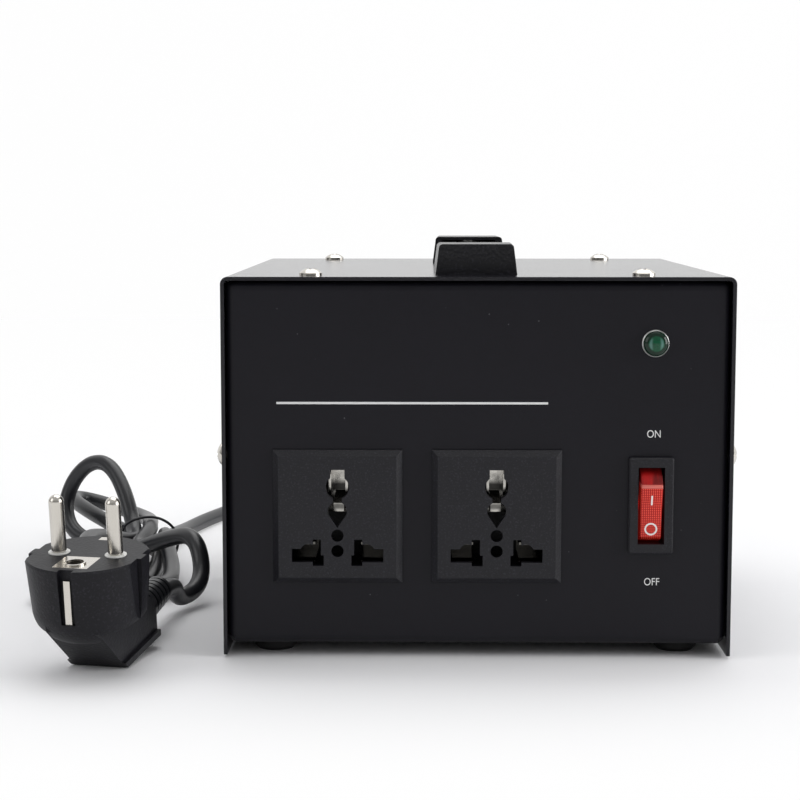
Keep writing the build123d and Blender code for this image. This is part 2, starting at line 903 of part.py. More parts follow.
def earth_stud():
    """A stud through the bottom sheet with two nuts and a ring tag between them."""
    stem = rod_z(earth_stud_width, earth_x, earth_y, chassis_bottom - 2.5, floor_plate + 11)
    low = Pos(earth_x, earth_y, floor_plate) * extrude(RegularPolygon(4, 6), amount=3)
    high = Pos(earth_x, earth_y, floor_plate + 3.8) * extrude(RegularPolygon(4, 6), amount=3)
    tag = Pos(earth_x, earth_y, floor_plate + 3) * extrude(
        Circle(4.4) + Pos(0, 6) * Rectangle(3.4, 12), amount=0.8
    )
    head = Pos(earth_x, earth_y, chassis_bottom - 2.5) * extrude(RegularPolygon(4, 6), amount=2.5)
    return stem + low + high + tag + head


def wire_run(points, radius):
    path = FilletPolyline(*points, radius=radius)
    return sweep(Plane(origin=path @ 0, z_dir=path % 0) * Circle(wire / 2), path)


wire_entry = rear_panel - sheet - gland_flange_thick - wire_side
behind_sockets = socket_body_back + terminal_length + wire_bend


def wire_supply():
    """From the lead to the fuse holder, and on to the switch under the sockets."""
    fuse_tail = rear_panel - sheet - fuse_body_length + wire_side
    lead_x = gland_x - wire_side
    lead_z = gland_z + wire_side
    left_x = fuse_x - 2 * wire_side
    up = wire_run([
        (lead_x, wire_entry, lead_z), (lead_x, wire_entry - wire_out, lead_z),
        (left_x, wire_entry - wire_back, gland_z + wire_turn),
        (left_x, fuse_tail - wire_bend, fuse_z - wire_drop),
        (fuse_x, fuse_tail - wire_out, fuse_z), (fuse_x, fuse_tail - 2 * wire_side, fuse_z),
    ], wire_bend)
    start_x = fuse_x + 2 * wire_side
    start_z = fuse_z + wire_bend
    wall_x = fuse_x - wire_bend
    switch_end = panel_front + switch_body_depth + terminal_length
    switch_low = switch_z + switch_terminal_drops()[0]
    along = wire_run([
        (start_x, fuse_tail - 2 * wire_side, start_z), (start_x, fuse_tail - wire_turn, start_z),
        (wall_x, core_y - core_leg, fuse_z - 2 * wire_drop), (wall_x, behind_sockets, wire_low),
        (switch_x - wire_turn, behind_sockets, wire_low),
        (switch_x, behind_sockets, switch_z - wire_back),
        (switch_x, switch_end + wire_bend, switch_low), (switch_x, switch_end, switch_low),
    ], wire_bend)
    return Compound(children=[up, along])


def wire_outputs():
    """From the coil to the sockets."""
    coil_top = coil_high + wire
    coil_front = core_y - core_stack / 2 - window_width / 2
    end_y = socket_body_back + terminal_length
    solids = []
    for x, tab in zip((left_socket_x, right_socket_x), (socket_tabs()[0], socket_tabs()[1])):
        x0 = core_x + x / 8
        x1 = x + tab[0]
        z1 = socket_z + tab[1]
        solids.append(wire_run([
            (x0, coil_front, coil_top), (x0, coil_front, coil_top + wire_out),
            (x1, core_y - core_stack, coil_top + wire_low), (x1, end_y + wire_out, socket_z),
            (x1, end_y + wire_low, z1), (x1, end_y, z1),
        ], wire_bend - wire / 2))
    return Compound(children=solids)


def wire_earth():
    """From the lead to the earth stud."""
    lead_x = gland_x - wire_side
    lead_z = gland_z - wire_side
    tag_z = floor_plate + 2 * wire_side
    return wire_run([
        (lead_x, wire_entry, lead_z), (lead_x, wire_entry - wire_out, lead_z),
        (earth_x, earth_y + wire_back, tag_z + wire_side), (earth_x, earth_y + wire_turn, tag_z),
        (earth_x, earth_y + wire_low, tag_z),
    ], wire_bend - wire_side)


# Fuse holder on the rear panel

def fuse_holder():
    bore = fuse_bore / 2
    body = turned([
        (bore, fuse_flange_thick), (fuse_flange / 2 - 0.6, fuse_flange_thick),
        (fuse_flange / 2, fuse_flange_thick - 0.6), (fuse_flange / 2, 0), (fuse_thread / 2, 0),
        (fuse_thread / 2, -14), (fuse_thread / 2 - 1, -15), (fuse_thread / 2 - 1, -fuse_body_length),
        (0, -fuse_body_length), (0, 2 - fuse_body_length), (bore, 2 - fuse_body_length),
    ])
    return facing_rear(body, fuse_x, rear_panel, fuse_z)


def fuse_nut():
    hexagon = RegularPolygon(fuse_nut_width / 2, 6) - Circle(fuse_thread / 2 + screw_play)
    nut = extrude(hexagon, amount=fuse_nut_height)
    return facing_rear(nut, fuse_x, rear_panel - sheet - fuse_nut_height, fuse_z)


def fuse_cap():
    """A fluted cap with a screwdriver slot, over a stem that grips the fuse."""
    top = fuse_cap_proud
    seat = fuse_flange_thick + fit
    stem = fuse_bore / 2 - 0.35
    cup = fuse_link_width / 2 + 0.1
    body = turned([
        (0, top), (fuse_cap_width / 2 - 0.8, top), (fuse_cap_width / 2, top - 0.8),
        (fuse_cap_width / 2, seat), (stem, seat), (stem, -4), (cup, -4), (cup, 0), (0, 0),
    ])
    for turn in range(0, 360, 30):
        flute = Rot(0, 0, turn) * Pos(fuse_cap_width / 2 + 0.35, 0, (top + seat) / 2)
        body -= flute * Box(1.4, 1.3, top - seat - 0.8)
    body -= Pos(0, 0, top) * Box(fuse_cap_width * 0.7, 1.2, 2.4)
    return facing_rear(body, fuse_x, rear_panel, fuse_z)


def fuse_link():
    """A glass fuse with its two metal end caps."""
    wide = fuse_link_width / 2
    glass = wide - 0.3
    end = -fuse_link_length
    body = turned([
        (0, 0), (wide, 0), (wide, -5), (glass, -5), (glass, end + 5), (wide, end + 5), (wide, end), (0, end),
    ])
    return facing_rear(body, fuse_x, rear_panel, fuse_z)


# Voltage selector on the rear panel

def selector_housing():
    plate = block(
        selector_x - selector_plate_width / 2, selector_x + selector_plate_width / 2,
        rear_panel, rear_panel + selector_plate_thick,
        selector_z - selector_plate_height / 2, selector_z + selector_plate_height / 2,
    )
    plate = fillet(plate.edges().filter_by(Axis.Y), 2.0)
    high = selector_window_height / 2 + sheet
    body = block(
        selector_x - selector_body_width / 2, selector_x + selector_body_width / 2,
        rear_panel - selector_body_depth, rear_panel, selector_z - high, selector_z + high,
    )
    window = block(
        selector_x - selector_window_width / 2, selector_x + selector_window_width / 2,
        rear_panel - selector_body_depth + sheet, rear_panel + 2,
        selector_z - selector_window_height / 2, selector_z + selector_window_height / 2,
    )
    housing = plate + body - window
    for side in (-1, 1):
        x = selector_x + side * selector_screw_pitch / 2
        housing -= rod_y(foot_screw_shank + 2 * screw_play, x, selector_z, rear_panel - 4, rear_panel + 4)
        x = selector_x + side * selector_body_width / 4
        housing -= block(
            x - terminal_width / 2 - fit / 2, x + terminal_width / 2 + fit / 2,
            rear_panel - selector_body_depth - 1, rear_panel - selector_body_depth + 2,
            selector_z - contact_thick / 2 - fit / 2, selector_z + contact_thick / 2 + fit / 2,
        )
    return housing


selector_travel = selector_window_width - selector_knob_width - 2 * selector_play


def selector_slider():
    """The slide, at rest at the left end of its window as seen from the rear."""
    x = selector_x + selector_travel / 2
    high = selector_window_height / 2 - selector_play
    half = selector_knob_width / 2
    knob = block(
        x - half, x + half, rear_panel - selector_body_depth + sheet + selector_play + 1,
        rear_panel + selector_plate_thick - 0.3, selector_z - high, selector_z + high,
    )
    notch = block(
        x - 0.6, x + 0.6, rear_panel - 0.6, rear_panel + 2, selector_z - high - 1, selector_z + high + 1
    )
    return knob - notch


def selector_screws():
    screw = pan_screw(5.4, 1.8, foot_screw_shank, 6)
    solids = []
    for side in (-1, 1):
        x = selector_x + side * selector_screw_pitch / 2
        solids.append(facing_rear(screw, x, rear_panel + selector_plate_thick, selector_z))
    return Compound(children=solids)


# Lead

def cord_gland():
    """A flanged bush in the rear panel with a ribbed, tapered sleeve for the lead."""
    bore = cord / 2 + cord_play
    start = gland_flange_thick
    pitch = (gland_length - start - 2) / gland_ribs
    points = [(bore, -gland_flange_thick - sheet), (gland_neck / 2 + 1, -gland_flange_thick - sheet)]
    points += [(gland_neck / 2 + 1, -sheet), (gland_neck / 2, -sheet), (gland_neck / 2, 0)]
    points += [(gland_flange / 2, 0), (gland_flange / 2, start - 0.6), (gland_flange / 2 - 0.6, start)]
    for rib in range(gland_ribs):
        low = start + rib * pitch
        wide = gland_neck / 2 - (gland_neck - gland_tip) / 2 * rib / gland_ribs
        points += [(wide - 0.7, low), (wide - 0.7, low + pitch * 0.4)]
        points += [(wide, low + pitch * 0.4), (wide, low + pitch)]
    points += [(gland_tip / 2, gland_length - 2), (gland_tip / 2 - 0.3, gland_length), (bore, gland_length)]
    return facing_rear(turned(points), gland_x, rear_panel, gland_z)


# Plug. It is made with its pins along +Z and its cord along +Y, then leaned and set down.

def plug_place_of(shape):
    x, y, z = plug_place
    lean = Rot(plug_lean, 0, 0) * Rot(0, plug_side_lean, 0) * Rot(0, 0, plug_turn)
    return Pos(x, y, z) * lean * shape


def plug_pins_shape():
    """Each pin has a narrower root inside the plug."""
    half = plug_pin / 2
    root = pin_root / 2
    low = collar_height + screw_play
    outline = [(0, -insert_depth), (root, -insert_depth), (root, low), (half, low)]
    pin = domed(half, plug_pin_length - half, half, outline)
    reach = plug_pin_pitch / 2
    return Compound(children=[Pos(-reach, 0, 0) * pin, Pos(reach, 0, 0) * pin])


def plug_insert_shape():
    """The bridge that holds both pins, with a collar round each on the face."""
    reach = plug_pin_pitch / 2
    insert = block(-reach - 4, reach + 4, -5, 7, -insert_depth, -1)
    for x in (-reach, reach):
        insert += rod_z(collar_width, x, 0, -1, collar_height)
    return insert - plug_pins_shape()


def plug_clip_shape():
    """The earth tube in its face plate, with the strips in the two side slots."""
    tube = earth_tube_bore / 2
    wall = clip_thick
    low = -earth_tube_depth
    far = clip_reach
    half = clip_plate / 2
    slot = side_slot / 2 - screw_play
    clip = block(-half, half, clip_plate_y - half, clip_plate_y + half, -wall, 0)
    clip += rod_z(2 * tube + 2 * wall, 0, earth_tube_y, low, 0)
    clip += block(-slot, slot, -far, far, low - wall, low)
    clip += block(-clip_strip / 2, clip_strip / 2, -far, wall - far, low - wall, clip_strip_top)
    clip += block(-slot, slot, far - wall, far, low - wall, 0)
    clip += block(-slot, slot, side_slot_wall - collar_width / 3, far, -wall, 0)
    return clip - rod_z(2 * tube, 0, earth_tube_y, low, 1)


def plug_grip(half):
    """The grip from its sloped chin under the front to the sleeve."""
    rim = relief_drop + relief_wide / 2
    outline = Polygon(
        (chin_front, chin_top), (chin_foot, -plug_height), (relief_start, -plug_height),
        (relief_start, rim), (grip_shoulder, grip_top), (chin_front, grip_top), align=None,
    )
    return along_x(outline, -half, half)


def plug_body_shape():
    """A round front with ribbed flats, and a narrower grip that carries the cord."""
    wide = plug_width / 2
    foot = plug_foot / 2
    outline = Polyline((0, -plug_depth), (0, 0), (wide - 0.6, 0), (wide, -0.6), (foot, -16))
    outline += ThreePointArc((foot, -16), (foot - 2.5, -22.8), (foot - 9, -plug_depth))
    outline += Line((foot - 9, -plug_depth), (0, -plug_depth))
    body = revolve(Plane.XZ * make_face(outline), Axis.Z)
    for side in (-1, 1):
        x0, x1 = sorted((side * plug_flat / 2, side * plug_width))
        flat = block(x0, x1, -wide, wide, -plug_depth - 1, 1)
        x0, x1 = sorted((0, side * plug_rib_width / 2))
        rib = block(x0, x1, -plug_rib / 2, plug_rib / 2, -plug_depth, 0)
        body -= flat - rib
    pocket = Polygon(
        (-wide, pocket_front), (wide, pocket_back), (wide, -plug_height), (-wide, -plug_height),
        align=None,
    )
    body -= along_x(pocket, grip_width / 2, plug_width)
    body -= along_x(pocket, -plug_width, -grip_width / 2)
    sole = plug_grip(grip_width / 2 + grip_rim)
    sole -= block(-plug_width, plug_width, -plug_width, relief_end, sole_height - plug_height, 0)
    body += plug_grip(grip_width / 2) + fillet(sole.edges().group_by(Axis.Z)[0], 0.8)
    for side in (-1, 1):
        y0, y1 = sorted((side * side_slot_wall, side * plug_width))
        body -= block(-side_slot / 2, side_slot / 2, y0, y1, -earth_tube_depth, 1)
    inner = earth_tube_bore + 2 * clip_thick
    body -= rod_z(inner, 0, earth_tube_y, -earth_tube_depth - clip_thick, 1)
    body -= relief_bore(relief_start - 16, relief_start + 1)
    return body - plug_pins_shape() - plug_insert_shape() - plug_clip_shape()


def relief_bore(start, end):
    return along_y(Pos(0, relief_drop) * Circle(cord / 2 + cord_play), start, end)


def plug_relief_shape():
    """The ribbed sleeve, tapered towards the cord."""
    pitch = (relief_end - relief_start - 2) / relief_ribs
    points = [(0, relief_start)]
    for rib in range(relief_ribs):
        low = relief_start + rib * pitch
        wide = relief_wide / 2 - (relief_wide - relief_tip) / 2 * rib / relief_ribs
        points += [(wide, low), (wide, low + pitch * 0.6)]
        points += [(wide - 0.9, low + pitch * 0.6), (wide - 0.9, low + pitch)]
    points += [(relief_tip / 2, relief_end - 2), (relief_tip / 2, relief_end - 0.5)]
    points += [(relief_tip / 2 - 0.5, relief_end), (0, relief_end)]
    sleeve = Pos(0, 0, relief_drop) * Rot(-90, 0, 0) * turned(points)
    return sleeve - relief_bore(relief_start - 1, relief_end + 1)


def plug_point(along):
    """A point on the axis of the plug's sleeve, in the part's own frame."""
    place = plug_place_of(Pos(0, along, relief_drop))
    return place.position


# The hank. Five strands pass the tie, and a loop joins each to the next.

lane_radius = (cord + strand_gap) / 2 / sin(pi / 5)
hank_z = cord / 2 + tie + 0.3 + lane_radius * sin(radians(54))
lane_a = -54
lane_b = -126
lane_c = 18
lane_d = 162
lane_e = 90


def lane(angle, along):
    """A point on one of the five strands, at a distance behind the tie."""
    turn = radians(hank_turn)
    side = lane_radius * cos(radians(angle))
    x = hank_x + side * cos(turn) - along * sin(turn)
    y = hank_y + side * sin(turn) + along * cos(turn)
    return Vector(x, y, hank_z + lane_radius * sin(radians(angle)))


def hank_loop(start, end, side, reach, spread):
    """The strand before a loop, the loop's points, and so on to the next strand."""
    first = lane(start, side * hank_half)
    last = lane(end, side * hank_half)
    points = [lane(start, -side * hank_half), first]
    for step in range(1, loop_points + 1):
        share = step / (loop_points + 1)
        point = first * (1 - share) + last * share
        point += Vector(*reach) * sin(pi * share) + Vector(*spread) * sin(2 * pi * share)
        points.append(point)
    return points


def hank_points():
    points = hank_loop(lane_c, lane_d, -1, *near_upper)
    points += hank_loop(lane_d, lane_b, 1, *far_wide)
    points += hank_loop(lane_b, lane_a, -1, *near_lower)
    points += hank_loop(lane_a, lane_e, 1, *far_narrow)
    return points + [lane(lane_e, hank_half), lane(lane_e, -hank_half)]


def lead_points():
    start = Vector(gland_x, wire_entry, gland_z)
    return [start] + [Vector(*point) for point in lead_route]


def tail_points():
    out = [plug_point(relief_end + 14), plug_point(relief_start - 10)]
    return [Vector(*point) for point in tail_route] + out


def bend_radii(points):
    """Each bend takes 0.45 of the shorter run beside it."""
    radii = []
    for a, b, c in zip(points, points[1:], points[2:]):
        turn = radians((b - a).get_angle(c - b))
        radii.append(0.45 * min((b - a).length, (c - b).length) / tan(turn / 2))
    return radii


def cord_tube(name, points):
    radii = bend_radii(points)
    path = FilletPolyline(*points, radius=radii)
    print(name, "length", round(path.length, 1), "least radius", round(min(radii), 1))
    return sweep(Plane(origin=path @ 0, z_dir=path % 0) * Circle(cord / 2), path)


def arc_from(start, tangent, end):
    """The arc that leaves start along the tangent and reaches end."""
    chord = end - start
    middle = (start + end) / 2
    turn = radians(chord.get_angle(tangent))
    if turn < 0.002:
        return Line(start, end)
    out = tangent * (chord.length / 2 / cos(turn)) + start - middle
    rise = chord.length / 2 * tan(turn / 2)
    return ThreePointArc(start, middle + out.normalized() * rise, end)


def biarc(p0, t0, p1, t1):
    v = p1 - p0
    both = t0 + t1
    spare = 2 * (1 - t0.dot(t1))
    if spare < 1e-6:
        d = v.dot(v) / (2 * v.dot(both))
    else:
        d = (sqrt(v.dot(both) ** 2 + spare * v.dot(v)) - v.dot(both)) / spare
    joint = (p0 + t0 * d + p1 - t1 * d) / 2
    return [arc_from(p0, t0, joint), arc_from(p1, t1 * -1, joint)]


def hank_path():
    """Arcs between the middles of the runs, with their tangents along the runs."""
    points = [lead_points()[-1]] + hank_points() + [tail_points()[0]]
    middles = [(a + b) / 2 for a, b in zip(points, points[1:])]
    ways = [(b - a).normalized() for a, b in zip(points, points[1:])]
    edges = []
    for k in range(len(middles) - 1):
        edges += biarc(middles[k], ways[k], middles[k + 1], ways[k + 1])
    return Wire(edges)


def hank_middles():
    points = hank_points()
    return (lead_points()[-1] + points[0]) / 2, (points[-1] + tail_points()[0]) / 2


def print_hank(path):
    """Measures the least gap of the tube to itself on points along it."""
    count = int(path.length / 2)
    spots = [path @ (k / count) for k in range(count + 1)]
    step = path.length / count
    skip = int(4 * cord / step)
    least = min(
        (spots[i] - spots[j]).length for i in range(count + 1) for j in range(i + skip, count + 1)
    )
    print("hank length", round(path.length, 1), "least gap", round(least - cord, 2))


def cord_hank():
    path = hank_path()
    print_hank(path)
    return sweep(Plane(origin=path @ 0, z_dir=path % 0) * Circle(cord / 2), path)


def twist_tie():
    """A wire ring round the five strands, with its two ends twisted together."""
    turn = radians(hank_turn)
    origin = (hank_x, hank_y, hank_z)
    plane = Plane(origin, x_dir=(cos(turn), sin(turn), 0), z_dir=(sin(turn), -cos(turn), 0))
    corners = [
        (lane_radius * cos(radians(a)), lane_radius * sin(radians(a)))
        for a in (lane_c, lane_e, lane_d, lane_b, lane_a)
    ]
    corners[0] = (lane_radius + tie_slack, corners[0][1] + tie_slack)
    hull = offset(make_face(Polyline(*corners, close=True)), amount=cord / 2 + tie / 2 + 0.15, kind=Kind.ARC)
    path = (plane * hull).face().outer_wire()
    ring = sweep(Plane(origin=path @ 0, z_dir=path % 0) * Circle(tie / 2), path)
    side = -lane_radius - cord / 2 - tie
    end = rod_x(2 * tie, 0, 0, side - 11, side)
    end = fillet(end.edges().sort_by(Axis.X)[0], tie * 0.8)
    placed = Pos(hank_x, hank_y, hank_z) * Rot(0, 0, hank_turn) * Rot(0, tie_droop, 0) * end
    return Compound(children=[ring, placed - ring])


pieces = {
    "chassis": chassis(),
    "cover": cover(),
    "side_screws": side_screws(),
    "foot_screws": foot_screws(),
    "handle_cap_front": handle_cap(False),
    "handle_cap_rear": handle_cap(True),
    "handle_strap": handle_strap(),
    "handle_screws": handle_screws(),
    "switch_housing": switch_housing(),
    "switch_rocker": switch_rocker(),
    "switch_terminals": switch_terminals(),
    "lamp_bezel": lamp_bezel(),
    "lamp_lens": lamp_lens(),
    "lamp_nut": lamp_nut(),
    "core": core(),
    "bobbin": bobbin(),
    "primary_winding": primary_winding(),
    "secondary_winding": secondary_winding(),
    "core_bracket_front": core_bracket(-1),
    "core_bracket_rear": core_bracket(1),
    "core_bolts": core_bolts(),
    "earth_stud": earth_stud(),
    "wire_supply": wire_supply(),
    "wire_outputs": wire_outputs(),
    "wire_earth": wire_earth(),
    "fuse_holder": fuse_holder(),
    "fuse_nut": fuse_nut(),
    "fuse_cap": fuse_cap(),
    "fuse_link": fuse_link(),
    "selector_housing": selector_housing(),
    "selector_slider": selector_slider(),
    "selector_screws": selector_screws(),
    "cord_gland": cord_gland(),
    "cord_lead": cord_tube("lead", lead_points() + [hank_middles()[0]]),
    "cord_hank": cord_hank(),
    "cord_tail": cord_tube("tail", [hank_middles()[1]] + tail_points()),
    "twist_tie": twist_tie(),
    "plug_body": plug_place_of(plug_body_shape()),
    "plug_pins": plug_place_of(plug_pins_shape()),
    "plug_insert": plug_place_of(plug_insert_shape()),
    "plug_earth_clip": plug_place_of(plug_clip_shape()),
    "plug_strain_relief": plug_place_of(plug_relief_shape()),
}
for number, place in enumerate(top_screw_places(), 1):
    pieces[f"top_screw_{number}"] = top_screw(place)
for number, place in enumerate(foot_places(), 1):
    pieces[f"foot_{number}"] = foot(place)
for name, x in (("left", left_socket_x), ("right", right_socket_x)):
    pieces[f"{name}_socket_face"] = socket_face(x)
    pieces[f"{name}_socket_body"] = socket_body(x)
    pieces[f"{name}_socket_line"] = live_contact(x, -1)
    pieces[f"{name}_socket_neutral"] = live_contact(x, 1)
    pieces[f"{name}_socket_earth"] = earth_contact(x)

os.makedirs("parts", exist_ok=True)
for name, shape in pieces.items():
    export_step(shape, f"parts/{name}.step")
print("pieces", len(pieces))
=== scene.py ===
"""Dresses the voltage transformer: finishes, printed marks, the tied lead and a small studio."""
import json
from math import atan2, copysign, cos, pi, radians, sin

import bmesh
import bpy
from bpy.props import FloatProperty, FloatVectorProperty, IntProperty, PointerProperty
from mathutils import Matrix, Vector


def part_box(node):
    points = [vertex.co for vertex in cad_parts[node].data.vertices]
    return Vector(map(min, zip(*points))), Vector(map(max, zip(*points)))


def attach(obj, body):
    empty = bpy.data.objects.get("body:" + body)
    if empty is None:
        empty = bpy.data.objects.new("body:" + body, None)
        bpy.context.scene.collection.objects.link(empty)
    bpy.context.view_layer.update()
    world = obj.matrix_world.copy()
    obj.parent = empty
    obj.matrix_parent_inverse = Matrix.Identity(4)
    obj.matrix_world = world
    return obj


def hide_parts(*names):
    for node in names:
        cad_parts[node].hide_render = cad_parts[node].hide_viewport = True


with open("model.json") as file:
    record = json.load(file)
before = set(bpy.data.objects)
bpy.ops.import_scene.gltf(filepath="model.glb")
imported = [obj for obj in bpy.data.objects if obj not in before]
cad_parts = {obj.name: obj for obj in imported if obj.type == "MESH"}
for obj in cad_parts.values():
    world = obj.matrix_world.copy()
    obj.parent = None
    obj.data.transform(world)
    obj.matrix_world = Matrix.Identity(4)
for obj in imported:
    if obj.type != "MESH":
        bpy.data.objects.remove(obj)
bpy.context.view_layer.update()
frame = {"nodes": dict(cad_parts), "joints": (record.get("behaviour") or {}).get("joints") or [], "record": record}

bl_info = {
    "name": "Voltage transformer",
    "version": (1, 0, 0),
    "blender": (4, 5, 0),
    "location": "View3D > Sidebar > Transformer",
    "description": "Builds the finishes, printed marks, lead and studio of a voltage transformer",
    "category": "Object",
}

MM = 0.001

# Colours that no setting changes
WHITE = (1.0, 1.0, 1.0)
NICKEL = (0.66, 0.63, 0.58)
ZINC = (0.56, 0.56, 0.54)
BRIGHT_RIM = (0.90, 0.90, 0.88)
# Plating darkened to painted shade, for the contacts deep in the sockets' slots
PLATING_PAINTED_SHADE = (0.13, 0.125, 0.115)
# Painted highlight and painted shade of a socket's earth strip
STRIP_PAINTED_HIGHLIGHT = (0.62, 0.60, 0.56)
STRIP_PAINTED_SHADE = (0.035, 0.034, 0.032)
CORE_STEEL = (0.20, 0.19, 0.18)
COPPER = (0.50, 0.20, 0.07)
BOBBIN = (0.34, 0.31, 0.24)
SLEEVE_WHITE = (0.80, 0.80, 0.78)
WIRE_BROWN = (0.16, 0.06, 0.02)
ROCKER_DOTS = (0.95, 0.11, 0.06)
# Painted glow of the rocker, which has no lamp in it
ROCKER_PAINTED_GLOW = (0.34, 0.016, 0.01)
# Painted highlight along the rocker's ridge
ROCKER_RIDGE_HIGHLIGHT = (0.62, 0.17, 0.14)
# Painted highlight: the two glints in the lamp's lens
LENS_PAINTED_GLINT = (0.11, 0.23, 0.20)
GLASS_DEEP = (0.75, 0.80, 0.78)
GLASS_CLEAR = (0.88, 0.90, 0.88)

# Heights on a socket's earth strip, in millimetres above the middle of the socket's face, of its painted
# highlight: above the top, on the two bows, and dimmed in the dip between them
STRIP_TOP = (7.0, 9.0)
STRIP_BOWS = (-2.0, -0.8, 4.2, 5.2)
STRIP_DIP = (0.6, 1.4, 2.4, 3.4)

# Spacing of what repeats on a surface
SHEET_PITCH = 0.9 * MM
TURN_PITCH = 1.2 * MM
DOT_PITCH_UP = 1.2 * MM
DOT_PITCH_ACROSS = 1.3 * MM

# The rocker's sizes, those of the part, in millimetres
ROCKER_ROUND = 12.35
ROCKER_FACE = 8.7
ROCKER_HALF = (ROCKER_ROUND**2 - ROCKER_FACE**2) ** 0.5
ROCKER_BACK = 0.5
ROCKER_DIP = 0.8
ROCKER_HUB = 2.4
ROCKER_PIN = 1.2
ROCKER_PIN_LENGTH = 11.6
ROCKER_BEVEL = 0.3
ROCKER_TILT = radians(12.0)

# Thin marks: how far the ink sinks into the panel, and the relief of the marks on the rocker
INK_SINK = 0.01 * MM
MARK_THICK = 0.12 * MM

# Rounding of the corners of a bar, as a share of its width
RULE_ROUNDING = 0.2
BAR_ROUNDING = 0.3

# Fineness of the curved meshes
CORNER_STEPS = 4
RING_SIDES = 40
ROCKER_ARC_STEPS = 10
ROCKER_PIN_SIDES = 32
LENS_ARC_STEPS = 12
LENS_SIDES = 48


def span(name, default, text):
    """A length property in metres, from a size in millimetres."""
    return FloatProperty(name=name, description=text, default=default * MM, unit="LENGTH", precision=5)


def colour(name, default, text):
    """A colour property."""
    return FloatVectorProperty(
        name=name, description=text, default=default, subtype="COLOR", size=3, min=0.0, max=1.0
    )


def share(name, default, text):
    """A property from 0 to 1."""
    return FloatProperty(name=name, description=text, default=default, min=0.0, max=1.0, subtype="FACTOR")


def power(name, default, text):
    """The power of a light, in watts."""
    return FloatProperty(name=name, description=text, default=default, min=0.0)


# Settings


class CaseSettings(bpy.types.PropertyGroup):
    paint: colour("Paint", (0.0070, 0.0066, 0.0100), "Colour of the powder coat")
    paint_roughness: share("Paint roughness", 0.42, "Roughness of the front's powder coat")
    cover_roughness: share("Cover roughness", 0.15, "Roughness of the cover's smoother powder coat")
    plastic: colour("Plastic", (0.0105, 0.0103, 0.0136), "Colour of the moulded black plastic")
    rubber: colour("Rubber", (0.0110, 0.0110, 0.0115), "Colour of the strap and feet")
    speck: colour("Specks", (0.11, 0.11, 0.12), "Colour of the fine dust on the paint")


class PrintSettings(bpy.types.PropertyGroup):
    ink: colour("Ink", (0.80, 0.80, 0.80), "Colour of the printed marks")
    lift: span("Ink thickness", 0.06, "How far the ink stands off the panel")
    rule_left: span("Rule left end", -65.2, "Left end of the printed rule")
    rule_right: span("Rule right end", 22.9, "Right end of the printed rule")
    rule_height: span("Rule height", 84.1, "Height of the printed rule above the floor")
    rule_width: span("Rule width", 0.74, "Width of the printed rule")
    word_height: span("Lettering height", 2.45, "Height of the capital letters")
    word_narrow: share("Lettering width", 0.84, "Width of the letters as a share of the font's own")
    on_height: span("Height of ON", 74.2, "Middle of the word above the switch")
    off_height: span("Height of OFF", 25.5, "Middle of the word under the switch")
    word_shift: span("Lettering shift", 0.7, "How far the words stand right of the switch")


class SwitchSettings(bpy.types.PropertyGroup):
    red: colour("Rocker", (0.50, 0.006, 0.006), "Colour of the translucent rocker")
    width: span("Rocker width", 6.9, "Width of the rocker in its opening")
    mark: colour("Marks", (0.92, 0.86, 0.84), "Colour of the two marks on the rocker")
    mark_stroke: span("Mark stroke", 0.55, "Line width of the marks")
    bar_size: span("Bar height", 3.4, "Height of the bar on the upper half")
    bar_place: span("Bar place", 3.9, "How far the bar stands above the middle of the rocker's face")
    ring_size: span("Ring width", 4.2, "Width of the ring on the lower half")
    ring_place: span("Ring place", -6.0, "How far the ring stands above the middle, below it if negative")


class LampSettings(bpy.types.PropertyGroup):
    lens: colour("Lens", (0.006, 0.085, 0.038), "Colour of the lamp's lens")
    width: span("Lens width", 8.15, "Width of the lamp's lens")
    stem: span("Lens stem", 5.6, "Width of the lens's stem in its rim")


class LeadSettings(bpy.types.PropertyGroup):
    sheath: colour("Sheath", (0.0115, 0.0124, 0.0160), "Colour of the sheath")
    width: span("Lead diameter", 6.4, "Diameter of the sheath")
    length: span("Lead length", 1170.0, "Real length of the lead from the case to the plug")
    gap: span("Strand gap", 1.1, "Gap between strands under the tie")
    tie: span("Tie wire", 1.1, "Diameter of the tie's covered wire")
    loop_points: IntProperty(name="Points in a loop", description="Points along each loop", default=7, min=5)


class PlugSettings(bpy.types.PropertyGroup):
    collar: span("Collar", 6.9, "Width of the collar round the earth hole")
    collar_wall: span("Collar wall", 0.7, "Thickness of the collar")
    collar_height: span("Collar height", 0.5, "How far the collar stands off the face")
    earth_back: span("Earth hole place", -10.0, "How far the earth hole lies from the middle of the pins")
    sleeve_height: span("Sleeve height", 0.35, "How far the pins' sleeves stand off the face")


